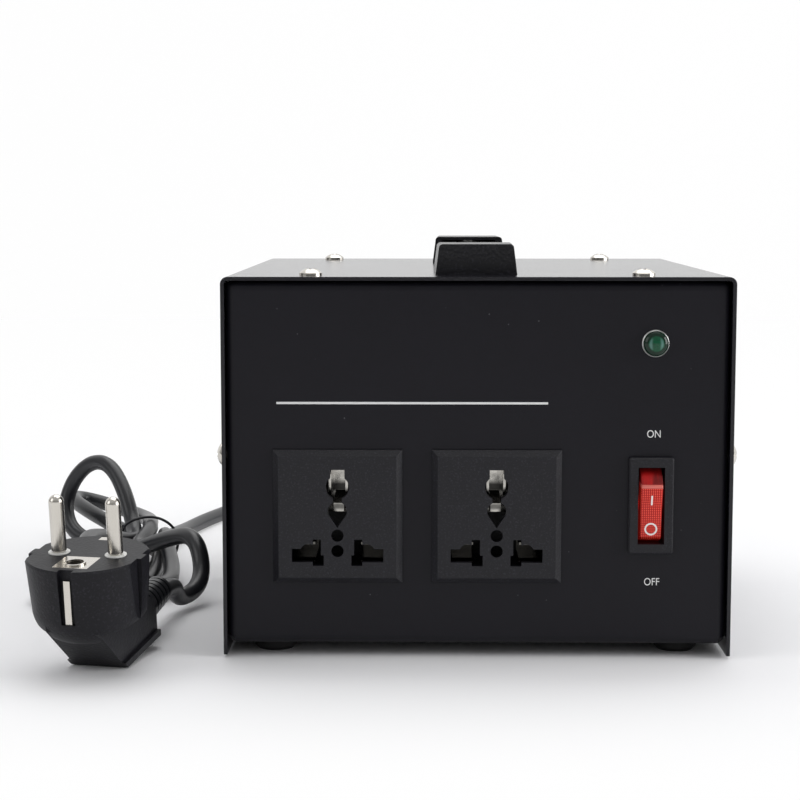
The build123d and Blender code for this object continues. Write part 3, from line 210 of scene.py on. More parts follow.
class StudioSettings(bpy.types.PropertyGroup):
    floor: colour("Floor", (0.885, 0.885, 0.90), "Colour of the floor")
    backdrop: colour("Backdrop", (0.93, 0.93, 0.94), "Colour of the backdrop")
    white: share("White", 0.96, "How white rays from the camera find the far floor, backdrop and world")
    grey_front: span("Grey band front", -115.0, "Where the floor starts to whiten towards the camera")
    white_front: span("White from", -215.0, "Where the floor is white in front")
    grey_back: span("Grey band back", 30.0, "Where the floor starts to whiten behind")
    white_back: span("White behind", 560.0, "Where the floor is white behind")
    grey_side: span("Grey band side", 340.0, "Where the floor starts to whiten at the sides")
    white_side: span("White aside", 900.0, "Where the floor is white at the sides")
    top_power: power("Top light", 14.5, "Power of the light overhead")
    left_power: power("Left light", 4.0, "Power of the left light")
    right_power: power("Right light", 21.0, "Power of the right light")
    sky_low: share("Low sky", 0.14, "Brightness of the world at the horizon")
    sky_high: share("High sky", 0.54, "Brightness of the world overhead")
    lens: FloatProperty(name="Focal length", description="Focal length in millimetres", default=82.62)
    eye: FloatVectorProperty(
        name="Camera place", description="Where the camera stands", default=(-0.0164, -0.6817, 0.1502),
        subtype="TRANSLATION", size=3,
    )
    turn: FloatVectorProperty(
        name="Camera turn", description="How the camera is turned",
        default=(radians(83.72), 0.0, radians(0.84)), subtype="EULER", size=3,
    )


# Node trees


class Socket:
    """A socket's value in a material, with arithmetic that adds Math nodes."""

    def __init__(self, tree, link):
        self.tree = tree
        self.link = link

    def maths(self, operation, *values):
        return self.tree.add("ShaderNodeMath", {"operation": operation}, dict(enumerate(values)))

    def __add__(self, other):
        return self.maths("ADD", self, other)

    def __radd__(self, other):
        return self.maths("ADD", other, self)

    def __sub__(self, other):
        return self.maths("SUBTRACT", self, other)

    def __rsub__(self, other):
        return self.maths("SUBTRACT", other, self)

    def __mul__(self, other):
        return self.maths("MULTIPLY", self, other)

    def __rmul__(self, other):
        return self.maths("MULTIPLY", other, self)

    def __pow__(self, other):
        return self.maths("POWER", self, other)

    def __rpow__(self, other):
        return self.maths("POWER", other, self)

    def __abs__(self):
        return self.maths("ABSOLUTE", self)

    def below(self, limit):
        return self.maths("LESS_THAN", self, limit)

    def sine(self):
        return self.maths("SINE", self)

    def largest(self, other):
        return self.maths("MAXIMUM", self, other)


class Tree:
    """A tree of nodes, all of which come from one method."""

    def __init__(self, owner, coordinates):
        owner.use_nodes = True
        self.nodes = owner.node_tree.nodes
        self.links = owner.node_tree.links
        self.place = self.add("ShaderNodeTexCoord", output=coordinates)

    def add(self, kind, settings=None, values=None, output=0):
        """Adds a node: its settings first, then the values or links of its sockets."""
        node = self.nodes.new(kind)
        for key, value in (settings or {}).items():
            setattr(node, key, value)
        for key, value in (values or {}).items():
            if isinstance(value, Socket):
                self.links.new(value.link, node.inputs[key])
            else:
                node.inputs[key].default_value = value
        return Socket(self, node.outputs[output])

    def join(self, value, node, name):
        self.links.new(value.link, self.nodes[node].inputs[name])

    def noise(self, scale, detail=2.0, roughness=0.5, place=None):
        values = {"Vector": place or self.place, "Scale": scale, "Detail": detail, "Roughness": roughness}
        return self.add("ShaderNodeTexNoise", {"noise_dimensions": "3D"}, values)

    def cells(self, scale, feature="F1"):
        values = {"Vector": self.place, "Scale": scale}
        return self.add("ShaderNodeTexVoronoi", {"feature": feature}, values)

    def axis(self, index):
        return self.add("ShaderNodeSeparateXYZ", None, {"Vector": self.place}, index)

    def wave(self, index, pitch):
        """A sine wave along one axis."""
        return (self.axis(index) * (2 * pi / pitch)).sine()

    def stretched(self, x, y, z):
        return self.add("ShaderNodeMapping", None, {"Vector": self.place, "Scale": (x, y, z)})

    def blend(self, factor, first, second):
        """A colour between two others, which are colours or links."""
        values = {"Factor": factor}
        for key, tint in ((6, first), (7, second)):
            values[key] = tint if isinstance(tint, Socket) else (*tint, 1.0)
        return self.add("ShaderNodeMix", {"data_type": "RGBA"}, values, 2)

    def shades(self, factor, tint, low, high):
        """A colour between two shades of one tint."""
        return self.blend(factor, shade(tint, low), shade(tint, high))

    def ramp(self, value, low, high):
        """Rises from 0 to 1 between two values, the first of which may be the larger."""
        values = {"Value": value, "From Min": low, "From Max": high}
        return self.add("ShaderNodeMapRange", {"clamp": True}, values)

    def band(self, value, start, full, fading, end):
        """Rises from 0 to 1 between the first two values, and falls to 0 between the last two."""
        return self.ramp(value, start, full) * self.ramp(value, end, fading)

    def rays(self, *kinds):
        """1 for rays of these kinds and 0 for all others."""
        found = [self.add("ShaderNodeLightPath", output=f"Is {kind} Ray") for kind in kinds]
        return sum(found[1:], found[0])


class Finish(Tree):
    """One procedural material. The shader's fixed values are set on its own sockets."""

    def __init__(self, name, **fixed):
        self.material = bpy.data.materials.new(name)
        super().__init__(self.material, "Object")
        self.shader = self.nodes["Principled BSDF"]
        for socket, value in fixed.items():
            self.shader.inputs[socket.replace("_", " ")].default_value = value

    def feed(self, name, value):
        self.links.new(value.link, self.shader.inputs[name])

    def roughen(self, factor, low, swing):
        """Roughness that rises by a swing from its low value as the factor goes from 0 to 1."""
        self.feed("Roughness", factor * swing + low)

    def bump(self, height, strength, depth):
        """Relief whose depth is in metres."""
        values = {"Height": height, "Strength": strength, "Distance": depth}
        self.feed("Normal", self.add("ShaderNodeBump", None, values))


def shade(tint, factor):
    """A tint made darker or paler."""
    return tuple(channel * factor for channel in tint)


def paint_finish(name, tint, roughness, gloss, speck):
    """Satin powder coat: fine orange peel, faint mottling and a few specks of dust."""
    finish = Finish(name, Specular_IOR_Level=gloss, IOR=1.45)
    mottle = finish.noise(scale=38.0, detail=3.0, roughness=0.6)
    base = finish.shades(mottle, tint, low=0.86, high=1.16)
    spots = finish.cells(scale=230.0).below(0.055)
    sparse = finish.ramp(finish.noise(scale=61.0, detail=1.0), low=0.55, high=0.62)
    finish.feed("Base Color", finish.blend(spots * sparse * 0.55, base, speck))
    finish.roughen(finish.ramp(mottle, low=-2.0, high=3.0), low=roughness - 0.04, swing=0.10)
    peel = finish.noise(scale=1500.0, detail=3.0, roughness=0.55)
    finish.bump(peel, strength=0.35, depth=0.12 * MM)
    return finish.material


def plastic_finish(name, tint, roughness, grain=1700.0, depth=0.18 * MM, gloss=0.36):
    """Moulded plastic with a spark-eroded grain, whose high points are painted paler as sparkle, a painted
    highlight.
    """
    finish = Finish(name, Specular_IOR_Level=gloss, IOR=1.46)
    cloud = finish.noise(scale=90.0)
    # Painted highlight: pale sparkle on the grain's high points
    painted_sparkle = finish.ramp(finish.noise(scale=grain, detail=1.0), low=0.56, high=0.70)
    body = finish.shades(cloud, tint, low=0.80, high=1.1)
    finish.feed("Base Color", finish.blend(painted_sparkle * 0.7, body, shade(tint, 2.6)))
    finish.roughen(cloud, low=roughness - 0.06, swing=0.12)
    finish.bump(finish.cells(scale=grain, feature="SMOOTH_F1"), strength=0.30, depth=depth)
    return finish.material


def rubber_finish(name, tint, roughness):
    """Dull rubber, a little uneven in colour, with a fine skin."""
    finish = Finish(name, Specular_IOR_Level=0.36)
    cloud = finish.noise(scale=70.0, detail=3.0)
    finish.feed("Base Color", finish.shades(cloud, tint, low=0.8, high=1.3))
    finish.roughen(cloud, low=roughness - 0.08, swing=0.16)
    finish.bump(finish.noise(scale=900.0), strength=0.22, depth=0.10 * MM)
    return finish.material


def metal_finish(name, tint, roughness, stretch=(1.0, 1.0, 1.0)):
    """Plated metal with faint drawing marks."""
    finish = Finish(name, Metallic=1.0)
    marks = finish.noise(scale=900.0, detail=3.0, roughness=0.6, place=finish.stretched(*stretch))
    cloud = finish.noise(scale=120.0)
    finish.feed("Base Color", finish.shades(cloud, tint, low=0.9, high=1.0))
    finish.roughen(marks + cloud * 0.4, low=roughness - 0.05, swing=0.10)
    finish.bump(marks, strength=0.06, depth=0.05 * MM)
    return finish.material


def earth_contact_finish(roughness, middle):
    """Plated strip in painted shade, with painted highlight above its top and on the two bows that a pin meets,
    dimmed where the strip dips behind them.
    """
    finish = Finish("earth_contact", Metallic=1.0)
    marks = finish.noise(scale=700.0, detail=3.0, roughness=0.6, place=finish.stretched(6.0, 1.0, 1.0))
    up = (finish.axis(2) - middle) * (1 / MM)
    # Painted highlight above the strip's top and on its two bows, dimmed in the dip; elsewhere painted shade
    upper = finish.ramp(up, *STRIP_TOP)
    lower = finish.band(up, *STRIP_BOWS) * (1 - finish.band(up, *STRIP_DIP) * 0.75)
    # The painted highlight is patchy at random
    patchy_highlight = finish.ramp(finish.noise(scale=420.0), low=0.3, high=0.7) * 0.4 + 0.6
    finish.feed("Base Color", finish.blend(upper.largest(lower) * patchy_highlight, STRIP_PAINTED_SHADE, STRIP_PAINTED_HIGHLIGHT))
    finish.roughen(marks, low=roughness - 0.06, swing=0.12)
    finish.bump(marks, strength=0.12, depth=0.06 * MM)
    return finish.material


def layered_finish(name, tint, axis, pitch, depth):
    """Edges of stacked sheets, or turns of a winding, repeated along one axis."""
    finish = Finish(name, Metallic=0.65)
    lines = finish.wave(axis, pitch) * 0.5 + 0.5
    cloud = finish.noise(scale=160.0, detail=3.0)
    finish.feed("Base Color", finish.shades(lines * 0.6 + cloud * 0.4, tint, low=0.45, high=1.0))
    finish.roughen(cloud, low=0.32, swing=0.25)
    finish.bump(lines, strength=0.5, depth=depth)
    return finish.material


def rocker_finish(tint, ridge):
    """Translucent red plastic: rows of fine dots, painted highlight along the ridge, painted shade with darker and
    paler streaks on the end above it, and a painted glow.
    """
    finish = Finish("red_rocker", IOR=1.5, Specular_IOR_Level=0.3, Emission_Strength=0.5)
    up = (finish.axis(2) - ridge) * (1 / MM)
    # The end above the ridge is painted in shade, with darker and paler streaks, and a narrow band at the ridge is
    # a painted highlight
    end = finish.ramp(up, low=0.4, high=0.8)
    ridge_highlight = finish.ramp(abs(up), low=0.7, high=0.4)
    dots = finish.wave(2, DOT_PITCH_UP) * finish.wave(0, DOT_PITCH_ACROSS)
    glow = finish.ramp(dots * dots, low=0.15, high=0.6) * (1 - end)
    face = finish.blend(glow * 0.8, shade(tint, 0.75), ROCKER_DOTS)
    streaks = finish.noise(scale=420.0, place=finish.stretched(1.0, 0.1, 0.1))
    painted_shade_streaks = finish.shades(finish.ramp(streaks, low=0.40, high=0.60), tint, low=0.28, high=0.85)
    finish.feed("Base Color", finish.blend(ridge_highlight, finish.blend(end, face, painted_shade_streaks), ROCKER_RIDGE_HIGHLIGHT))
    finish.roughen(finish.noise(scale=260.0) + end * 4.5, low=0.10, swing=0.10)
    # Painted glow: the rocker shines faintly as if lit from within, more at the dots and least on its shaded end
    lit = finish.blend(glow * 0.5, shade(tint, 0.13), ROCKER_PAINTED_GLOW)
    finish.feed("Emission Color", finish.blend(end, lit, shade(tint, 0.05)))
    return finish.material


def lens_finish(name, tint, middle, reach):
    """A clear coloured lens: a bright moulded boss with two glints, painted highlight, in a dark flange."""
    finish = Finish(name, IOR=1.5, Specular_IOR_Level=0.25, Coat_Roughness=0.03, Coat_Weight=0.15)
    across = (finish.axis(0) - middle.x) * (1 / reach)
    up = (finish.axis(2) - middle.z) * (1 / reach)
    away = (across * across + up * up) ** 0.5
    # Painted highlight: two glints left and right of the middle
    painted_glint = finish.band(away, 0.20, 0.38, 0.50, 0.62) * finish.ramp(abs(across), low=0.24, high=0.42)
    facets = finish.cells(scale=1400.0)
    boss = finish.ramp(away, low=0.68, high=0.54)
    glow = boss * (finish.ramp(facets, low=0.1, high=0.6) * 0.35 + 0.65)
    body = finish.shades(glow, tint, low=0.20, high=0.90)
    finish.feed("Base Color", finish.blend(painted_glint * 0.8, body, LENS_PAINTED_GLINT))
    finish.roughen(facets, low=0.07, swing=0.08)
    finish.bump(facets, strength=0.08, depth=0.10 * MM)
    return finish.material


def glass_finish(name):
    """Clear glass that lets about half of what is behind it through."""
    finish = Finish(name, IOR=1.45)
    cloud = finish.noise(scale=90.0, detail=1.0)
    finish.feed("Base Color", finish.blend(cloud, GLASS_DEEP, GLASS_CLEAR))
    finish.roughen(cloud, low=0.04, swing=0.05)
    finish.feed("Alpha", cloud * 0.10 + 0.45)
    return finish.material


def cord_finish(name, tint):
    """Satin sheath with soft changes of colour and gloss, and a fine skin."""
    finish = Finish(name, Specular_IOR_Level=0.50)
    cloud = finish.noise(scale=45.0, detail=3.0)
    finish.feed("Base Color", finish.shades(cloud, tint, low=0.6, high=1.1))
    finish.roughen(cloud, low=0.27, swing=0.14)
    finish.bump(finish.noise(scale=1300.0), strength=0.12, depth=0.06 * MM)
    return finish.material


def ink_finish(name, tint):
    """Flat pale ink or plastic with a faint mottling."""
    finish = Finish(name, Specular_IOR_Level=0.3)
    cloud = finish.noise(scale=700.0)
    finish.feed("Base Color", finish.shades(cloud, tint, low=0.9, high=1.0))
    finish.roughen(cloud, low=0.45, swing=0.10)
    return finish.material


FINISHES = {}


def make_finishes(scene):
    """All finishes, by the slot or the node that they belong to, and the inks."""
    case = scene.transformer_case
    lamp = scene.transformer_lamp
    red = scene.transformer_switch.red
    darker = shade(case.plastic, 0.8)
    handle = plastic_finish("handle_plastic", darker, 0.30, grain=1100.0, depth=0.35 * MM)
    earth = earth_contact_finish(0.16, box_middle("left_socket_face").z)
    return {
        "case_paint": paint_finish("case_paint", case.paint, case.paint_roughness, 0.26, case.speck),
        "cover": paint_finish("cover_paint", case.paint, case.cover_roughness, 0.42, case.speck),
        "black_plastic": plastic_finish("black_plastic", case.plastic, 0.42),
        "handle_cap_front": handle,
        "handle_cap_rear": handle,
        "plug_body": plastic_finish("plug_plastic", darker, 0.46, grain=1300.0, depth=0.22 * MM, gloss=0.24),
        "handle_rubber": rubber_finish("handle_rubber", case.rubber, 0.52),
        "foot_rubber": rubber_finish("foot_rubber", case.rubber, 0.7),
        "nickel": metal_finish("nickel", NICKEL, 0.20),
        "lamp_bezel": metal_finish("bright_rim", BRIGHT_RIM, 0.34),
        "zinc": metal_finish("zinc", ZINC, 0.32, stretch=(1.0, 8.0, 1.0)),
        # The contacts' plating is darkened to painted shade for the slots they sit in
        "contact": metal_finish("contact", PLATING_PAINTED_SHADE, 0.16, stretch=(1.0, 1.0, 6.0)),
        "left_socket_earth": earth,
        "right_socket_earth": earth,
        "red_rocker": rocker_finish(red, ridge_height()),
        "selector_slider": plastic_finish("slider_plastic", shade(red, 0.8), 0.36),
        "green_lens": lens_finish("green_lens", lamp.lens, box_middle("lamp_lens"), lamp.width / 2),
        "core_steel": layered_finish("core_steel", CORE_STEEL, 1, SHEET_PITCH, depth=0.08 * MM),
        "winding": layered_finish("winding", COPPER, 2, TURN_PITCH, depth=0.30 * MM),
        "bobbin_plastic": plastic_finish("bobbin_plastic", BOBBIN, 0.5),
        "white_plastic": ink_finish("white_plastic", SLEEVE_WHITE),
        "cord_sheath": cord_finish("cord_sheath", scene.transformer_lead.sheath),
        "wire_sheath": cord_finish("wire_sheath", WIRE_BROWN),
        "glass": glass_finish("glass"),
        "ink": ink_finish("panel_ink", scene.transformer_print.ink),
        "marks": ink_finish("rocker_ink", scene.transformer_switch.mark),
    }


# Places that come from the frame


def box_middle(node):
    """The middle of a node's box."""
    low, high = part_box(node)
    return (Vector(low) + Vector(high)) / 2


def rocker_axis():
    """A point on the pin that the rocker turns on."""
    joint = next(j for j in frame["joints"] if j["name"] == "rocker_tilt")
    return Vector(joint["pos_m"])


def ridge_height():
    """Height of the rocker's upper ridge in its rest position."""
    return rocker_axis().z + (ROCKER_HALF * cos(ROCKER_TILT) - ROCKER_FACE * sin(ROCKER_TILT)) * MM


# Meshes and curves


def new_piece(name, data, material, body):
    """A piece of the object, from a mesh or a curve, that rides on one body."""
    piece = bpy.data.objects.new(name, data)
    bpy.context.scene.collection.objects.link(piece)
    data.materials.append(material)
    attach(piece, body)
    return piece


def finished_mesh(name, shape, crease=None):
    """The mesh of a bmesh, smooth but for edges sharper than the crease angle."""
    mesh = bpy.data.meshes.new(name)
    shape.to_mesh(mesh)
    shape.free()
    if crease:
        mesh.shade_smooth()
        mesh.set_sharp_from_angle(angle=crease)
    return mesh


def plate_mesh(name, width, height, thick, rounding):
    """A flat bar with rounded corners, centred on the origin and facing -Y."""
    shape = bmesh.new()
    bmesh.ops.create_cube(shape, size=1.0)
    bmesh.ops.scale(shape, vec=(width, thick, height), verts=shape.verts)
    corners = [e for e in shape.edges if abs(e.verts[0].co.y - e.verts[1].co.y) > thick / 2]
    bmesh.ops.bevel(
        shape, geom=corners, offset=rounding, segments=CORNER_STEPS, affect="EDGES", profile=0.5
    )
    return finished_mesh(name, shape)


def ring_mesh(name, outer, stroke, thick):
    """A flat ring, centred on the origin and facing -Y."""
    inner = outer - stroke
    turns = [2 * pi * k / RING_SIDES for k in range(RING_SIDES)]
    shape = bmesh.new()
    rims = []
    for radius, y in ((outer, thick / 2), (outer, -thick / 2), (inner, -thick / 2), (inner, thick / 2)):
        rims.append([shape.verts.new((radius * cos(a), y, radius * sin(a))) for a in turns])
    for first, second in zip(rims, rims[1:] + rims[:1]):
        for k in range(RING_SIDES):
            j = (k + 1) % RING_SIDES
            shape.faces.new((first[k], first[j], second[j], second[k]))
    bmesh.ops.recalc_face_normals(shape, faces=shape.faces)
    return finished_mesh(name, shape)


def word_mesh(name, word, height, narrow, thick):
    """A printed word, centred on the origin and facing -Y."""
    curve = bpy.data.curves.new(name, "FONT")
    curve.body = word
    curve.align_x = "CENTER"
    curve.align_y = "CENTER"
    curve.extrude = thick / 2
    carrier = bpy.data.objects.new(name, curve)
    bpy.context.scene.collection.objects.link(carrier)
    bpy.context.view_layer.update()
    mesh = bpy.data.meshes.new_from_object(carrier)
    bpy.data.objects.remove(carrier)
    bpy.data.curves.remove(curve)
    rows = [v.co.y for v in mesh.vertices]
    cols = [v.co.x for v in mesh.vertices]
    scale = height / (max(rows) - min(rows))
    middle = Vector(((max(cols) + min(cols)) / 2, (max(rows) + min(rows)) / 2, 0))
    flat = Matrix.Diagonal((scale * narrow, scale, 1.0, 1.0))
    mesh.transform(Matrix.Rotation(pi / 2, 4, "X") @ flat @ Matrix.Translation(-middle))
    return mesh


def rocker_mesh(name, length):
    """The rocker before its tilt: round ends, a face with a shallow dip, and its hub on a pin."""
    start = atan2(-(ROCKER_ROUND**2 - ROCKER_BACK**2) ** 0.5, ROCKER_BACK)
    edge = atan2(-ROCKER_HALF, ROCKER_FACE)
    turns = [start + (edge - start) * k / ROCKER_ARC_STEPS for k in range(ROCKER_ARC_STEPS + 1)]
    low = [(ROCKER_ROUND * cos(a), ROCKER_ROUND * sin(a)) for a in turns]
    outline = [*low, (ROCKER_FACE - ROCKER_DIP, 0.0), *((out, -up) for out, up in reversed(low))]
    shape = bmesh.new()
    ends = []
    for x in (-length / 2, length / 2):
        ends.append([shape.verts.new((x, -out * MM, up * MM)) for out, up in outline])
    shape.faces.new(ends[0])
    shape.faces.new(ends[1][::-1])
    for k in range(len(outline)):
        j = (k + 1) % len(outline)
        shape.faces.new((ends[0][j], ends[0][k], ends[1][k], ends[1][j]))
    bmesh.ops.recalc_face_normals(shape, faces=shape.faces)
    shape.normal_update()
    sharp = [e for e in shape.edges if e.calc_face_angle() > radians(25)]
    bmesh.ops.bevel(
        shape, geom=sharp, offset=ROCKER_BEVEL * MM, segments=3, affect="EDGES", profile=0.5
    )
    for radius, reach in ((ROCKER_HUB, length), (ROCKER_PIN, ROCKER_PIN_LENGTH * MM)):
        bmesh.ops.create_cone(
            shape, cap_ends=True, segments=ROCKER_PIN_SIDES, radius1=radius * MM, radius2=radius * MM,
            depth=reach, matrix=Matrix.Rotation(pi / 2, 4, "Y"),
        )
    return finished_mesh(name, shape, crease=radians(24))


def lens_mesh(name, width, stem, dome, depth):
    """A domed lens on a stem, facing -Y, with the back of its dome at the origin."""
    turns = [pi / 2 * k / LENS_ARC_STEPS for k in range(LENS_ARC_STEPS + 1)]
    outline = [(width / 2 * sin(a), -dome * cos(a)) for a in turns]
    outline += [(stem / 2, 0.0), (stem / 2, depth), (0.0, depth)]
    shape = bmesh.new()
    verts = [shape.verts.new((out, y, 0.0)) for out, y in outline]
    edges = [shape.edges.new(pair) for pair in zip(verts, verts[1:])]
    bmesh.ops.spin(
        shape, geom=verts + edges, cent=(0, 0, 0), axis=(0, 1, 0), angle=2 * pi, steps=LENS_SIDES,
        use_merge=True,
    )
    bmesh.ops.remove_doubles(shape, verts=shape.verts, dist=1e-7)
    bmesh.ops.recalc_face_normals(shape, faces=shape.faces)
    return finished_mesh(name, shape, crease=radians(40))


def round_curve(name, diameter, sides, steps):
    """A curve with a round section and closed ends, to which strands are added."""
    curve = bpy.data.curves.new(name, "CURVE")
    curve.dimensions = "3D"
    curve.bevel_depth = diameter / 2
    curve.bevel_resolution = sides
    curve.resolution_u = steps
    curve.use_fill_caps = True
    return curve


def add_strand(curve, points, order, cyclic=False):
    """A NURBS spline whose control points are in millimetres."""
    spline = curve.splines.new("NURBS")
    spline.points.add(len(points) - 1)
    for point, place in zip(spline.points, points):
        point.co = (*(place * MM), 1.0)
    spline.order_u = order
    spline.use_cyclic_u = cyclic
    spline.use_endpoint_u = not cyclic


# Pieces on the case


class FinishOperator(bpy.types.Operator):
    """Give every part of the frame its finish"""

    bl_idname = "transformer.finish"
    bl_label = "Finishes"

    def execute(self, context):
        FINISHES.update(make_finishes(context.scene))
        slots = {entry["node"]: entry["material_slot"] for entry in frame["record"]["subparts"]}
        for node, piece in frame["nodes"].items():
            finish = FINISHES.get(node) or FINISHES.get(slots[node])
            if finish is None:
                raise RuntimeError(f"{node} has no finish for {slots[node]}")
            piece.data.materials.clear()
            piece.data.materials.append(finish)
        return {"FINISHED"}


class PrintOperator(bpy.types.Operator):
    """Print the rule and the switch's two words on the front"""

    bl_idname = "transformer.print"
    bl_label = "Printed marks"

    def execute(self, context):
        marks = context.scene.transformer_print
        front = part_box("chassis")[0][1] - marks.lift / 2 + INK_SINK
        length = marks.rule_right - marks.rule_left
        rounding = marks.rule_width * RULE_ROUNDING
        rule = plate_mesh("printed_rule", length, marks.rule_width, marks.lift, rounding)
        middle = (marks.rule_left + marks.rule_right) / 2
        self.printed("printed_rule", rule, (middle, front, marks.rule_height))
        across = box_middle("switch_housing").x + marks.word_shift
        for word, height in (("ON", marks.on_height), ("OFF", marks.off_height)):
            name = f"printed_{word.lower()}"
            mesh = word_mesh(name, word, marks.word_height, marks.word_narrow, marks.lift)
            self.printed(name, mesh, (across, front, height))
        return {"FINISHED"}

    def printed(self, name, mesh, place):
        """Puts a printed mark in its place on the front."""
        mesh.transform(Matrix.Translation(place))
        piece = new_piece(name, mesh, FINISHES["ink"], "case")


class RockerOperator(bpy.types.Operator):
    """Build the rocker with the bar and the ring on its two halves"""

    bl_idname = "transformer.rocker"
    bl_label = "Rocker"

    def execute(self, context):
        switch = context.scene.transformer_switch
        tilt = Matrix.Translation(rocker_axis()) @ Matrix.Rotation(ROCKER_TILT, 4, "X")
        body = rocker_mesh("rocker_body", switch.width)
        body.transform(tilt)
        rocker = new_piece("rocker_body", body, FINISHES["red_rocker"], "rocker")
        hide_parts("switch_rocker")
        stroke = switch.mark_stroke
        bar = plate_mesh("rocker_bar", stroke, switch.bar_size, MARK_THICK, stroke * BAR_ROUNDING)
        ring = ring_mesh("rocker_ring", switch.ring_size / 2, stroke, MARK_THICK)
        lean = ROCKER_DIP / ROCKER_HALF
        for mesh, along in ((bar, switch.bar_place), (ring, switch.ring_place)):
            out = ROCKER_FACE * MM - (ROCKER_HALF * MM - abs(along)) * lean
            slope = Matrix.Rotation(copysign(lean, along), 4, "X")
            mesh.transform(tilt @ Matrix.Translation((0, -out, along)) @ slope)
            piece = new_piece(mesh.name, mesh, FINISHES["marks"], "rocker")
        return {"FINISHED"}


class LampOperator(bpy.types.Operator):
    """Set the green lens into its bright rim"""

    bl_idname = "transformer.lamp"
    bl_label = "Lamp"

    def execute(self, context):
        lamp = context.scene.transformer_lamp
        middle = box_middle("lamp_lens")
        low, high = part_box("lamp_lens")
        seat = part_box("lamp_bezel")[0][1]
        mesh = lens_mesh("lamp_dome", lamp.width, lamp.stem, dome=seat - low[1], depth=high[1] - seat)
        mesh.transform(Matrix.Translation((middle.x, seat, middle.z)))
        lens = new_piece("lamp_dome", mesh, FINISHES["green_lens"], "case")
        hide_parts("lamp_lens")
        return {"FINISHED"}


# The lead and its plug. Places are those of the part, in millimetres.

LEAD_ROUTE = [
    (-50.0, 81.6, 28.0), (-50.0, 122.0, 28.0), (-50.0, 142.0, 21.0), (-48.0, 162.0, 10.0),
    (-50.0, 184.0, 3.8), (-64.0, 204.0, 3.2), (-84.0, 208.0, 3.2), (-101.0, 194.0, 3.2),
    (-110.0, 172.0, 3.2), (-118.0, 148.0, 3.2), (-123.5, 124.0, 3.2), (-126.0, 103.0, 5.0),
    (-126.9, 83.7, 6.6),
]
TAIL_ROUTE = [
    (-132.3, 26.6, 12.0), (-117.3, 15.4, 19.5), (-103.2, -0.6, 24.7),
    (-99.0, -11.0, 8.0), (-107.0, -27.0, 4.0),
]
PLUG_PLACE = Vector((-123.3, -113.0, 38.7))
PLUG_TURNS = (radians(6.6), radians(-1.2), radians(-12.0))

# Where the lead lies inside the plug's own boot: along it, and how far under the face
RELIEF_ENDS = (74.0, 24.0)
RELIEF_DROP = -32.0

# The hank: five strands lie round its middle, at these angles in degrees
HANK_MIDDLE = (-129.7, 59.7)
HANK_TURN = radians(9.0)
HANK_HALF = 9.2
LANE_A, LANE_B, LANE_C, LANE_D, LANE_E = -54, -126, 18, 162, 90

# Each loop: how far its middle reaches out, and how far its two halves spread
NEAR_UPPER = ((-2.6, -68.6, 2.1), (13.1, -2.5, -8.6))
FAR_WIDE = ((-33.0, 30.6, 21.0), (8.8, -0.8, 13.4))
NEAR_LOWER = ((-21.7, -76.6, -0.2), (-15.4, 6.8, 1.1))
FAR_NARROW = ((-37.9, 65.5, 4.5), (-14.8, -2.5, 6.0))

# The tie, seen along the hank: across and above the middle of the strands
TIE_LOOP = [
    (-12.0, 6.6), (-7.0, 9.6), (0.0, 11.0), (6.0, 9.2), (11.0, 4.6), (11.6, -2.5), (8.2, -8.9),
    (0.0, -8.95), (-8.6, -8.9), (-11.6, -2.0),
]
TIE_TAIL = ((-10.4, 6.9), (-22.0, 4.5))
TIE_TWISTS = 4
POINTS_IN_A_TWIST = 6
TIE_CLEARANCE = 0.3


def lane_radius(lead):
    """How far the strands lie from the middle of the hank."""
    return (lead.width + lead.gap) / MM / 2 / sin(pi / 5)


def lane(lead, angle, along):
    """A point on one of the five strands, at a distance behind the tie."""
    radius = lane_radius(lead)
    height = (lead.width / 2 + lead.tie) / MM + TIE_CLEARANCE - radius * sin(radians(LANE_A))
    side = radius * cos(radians(angle))
    x = HANK_MIDDLE[0] + side * cos(HANK_TURN) - along * sin(HANK_TURN)
    y = HANK_MIDDLE[1] + side * sin(HANK_TURN) + along * cos(HANK_TURN)
    return Vector((x, y, height + radius * sin(radians(angle))))


def hank_loop(lead, start, end, side, vectors):
    """The strand before a loop and the loop's points."""
    reach, spread = vectors
    first = lane(lead, start, side * HANK_HALF)
    last = lane(lead, end, side * HANK_HALF)
    points = [lane(lead, start, -side * HANK_HALF), first]
    for step in range(1, lead.loop_points + 1):
        part = step / (lead.loop_points + 1)
        point = first.lerp(last, part)
        point += Vector(reach) * sin(pi * part) + Vector(spread) * sin(2 * pi * part)
        points.append(point)
    return points


def plug_turn():
    """How the plug is turned: it leans, rolls a little and points away."""
    lean, roll, turn = PLUG_TURNS
    about = Matrix.Rotation(lean, 3, "X") @ Matrix.Rotation(roll, 3, "Y")
    return about @ Matrix.Rotation(turn, 3, "Z")


def lead_points(lead):
    """Every control point of the lead, from inside the case to inside the plug."""
    points = [Vector(p) for p in LEAD_ROUTE]
    points += hank_loop(lead, LANE_C, LANE_D, -1, NEAR_UPPER)
    points += hank_loop(lead, LANE_D, LANE_B, 1, FAR_WIDE)
    points += hank_loop(lead, LANE_B, LANE_A, -1, NEAR_LOWER)
    points += hank_loop(lead, LANE_A, LANE_E, 1, FAR_NARROW)
    points += [lane(lead, LANE_E, HANK_HALF), lane(lead, LANE_E, -HANK_HALF)]
    points += [Vector(p) for p in TAIL_ROUTE]
    points += [PLUG_PLACE + plug_turn() @ Vector((0, along, RELIEF_DROP)) for along in RELIEF_ENDS]
    return points


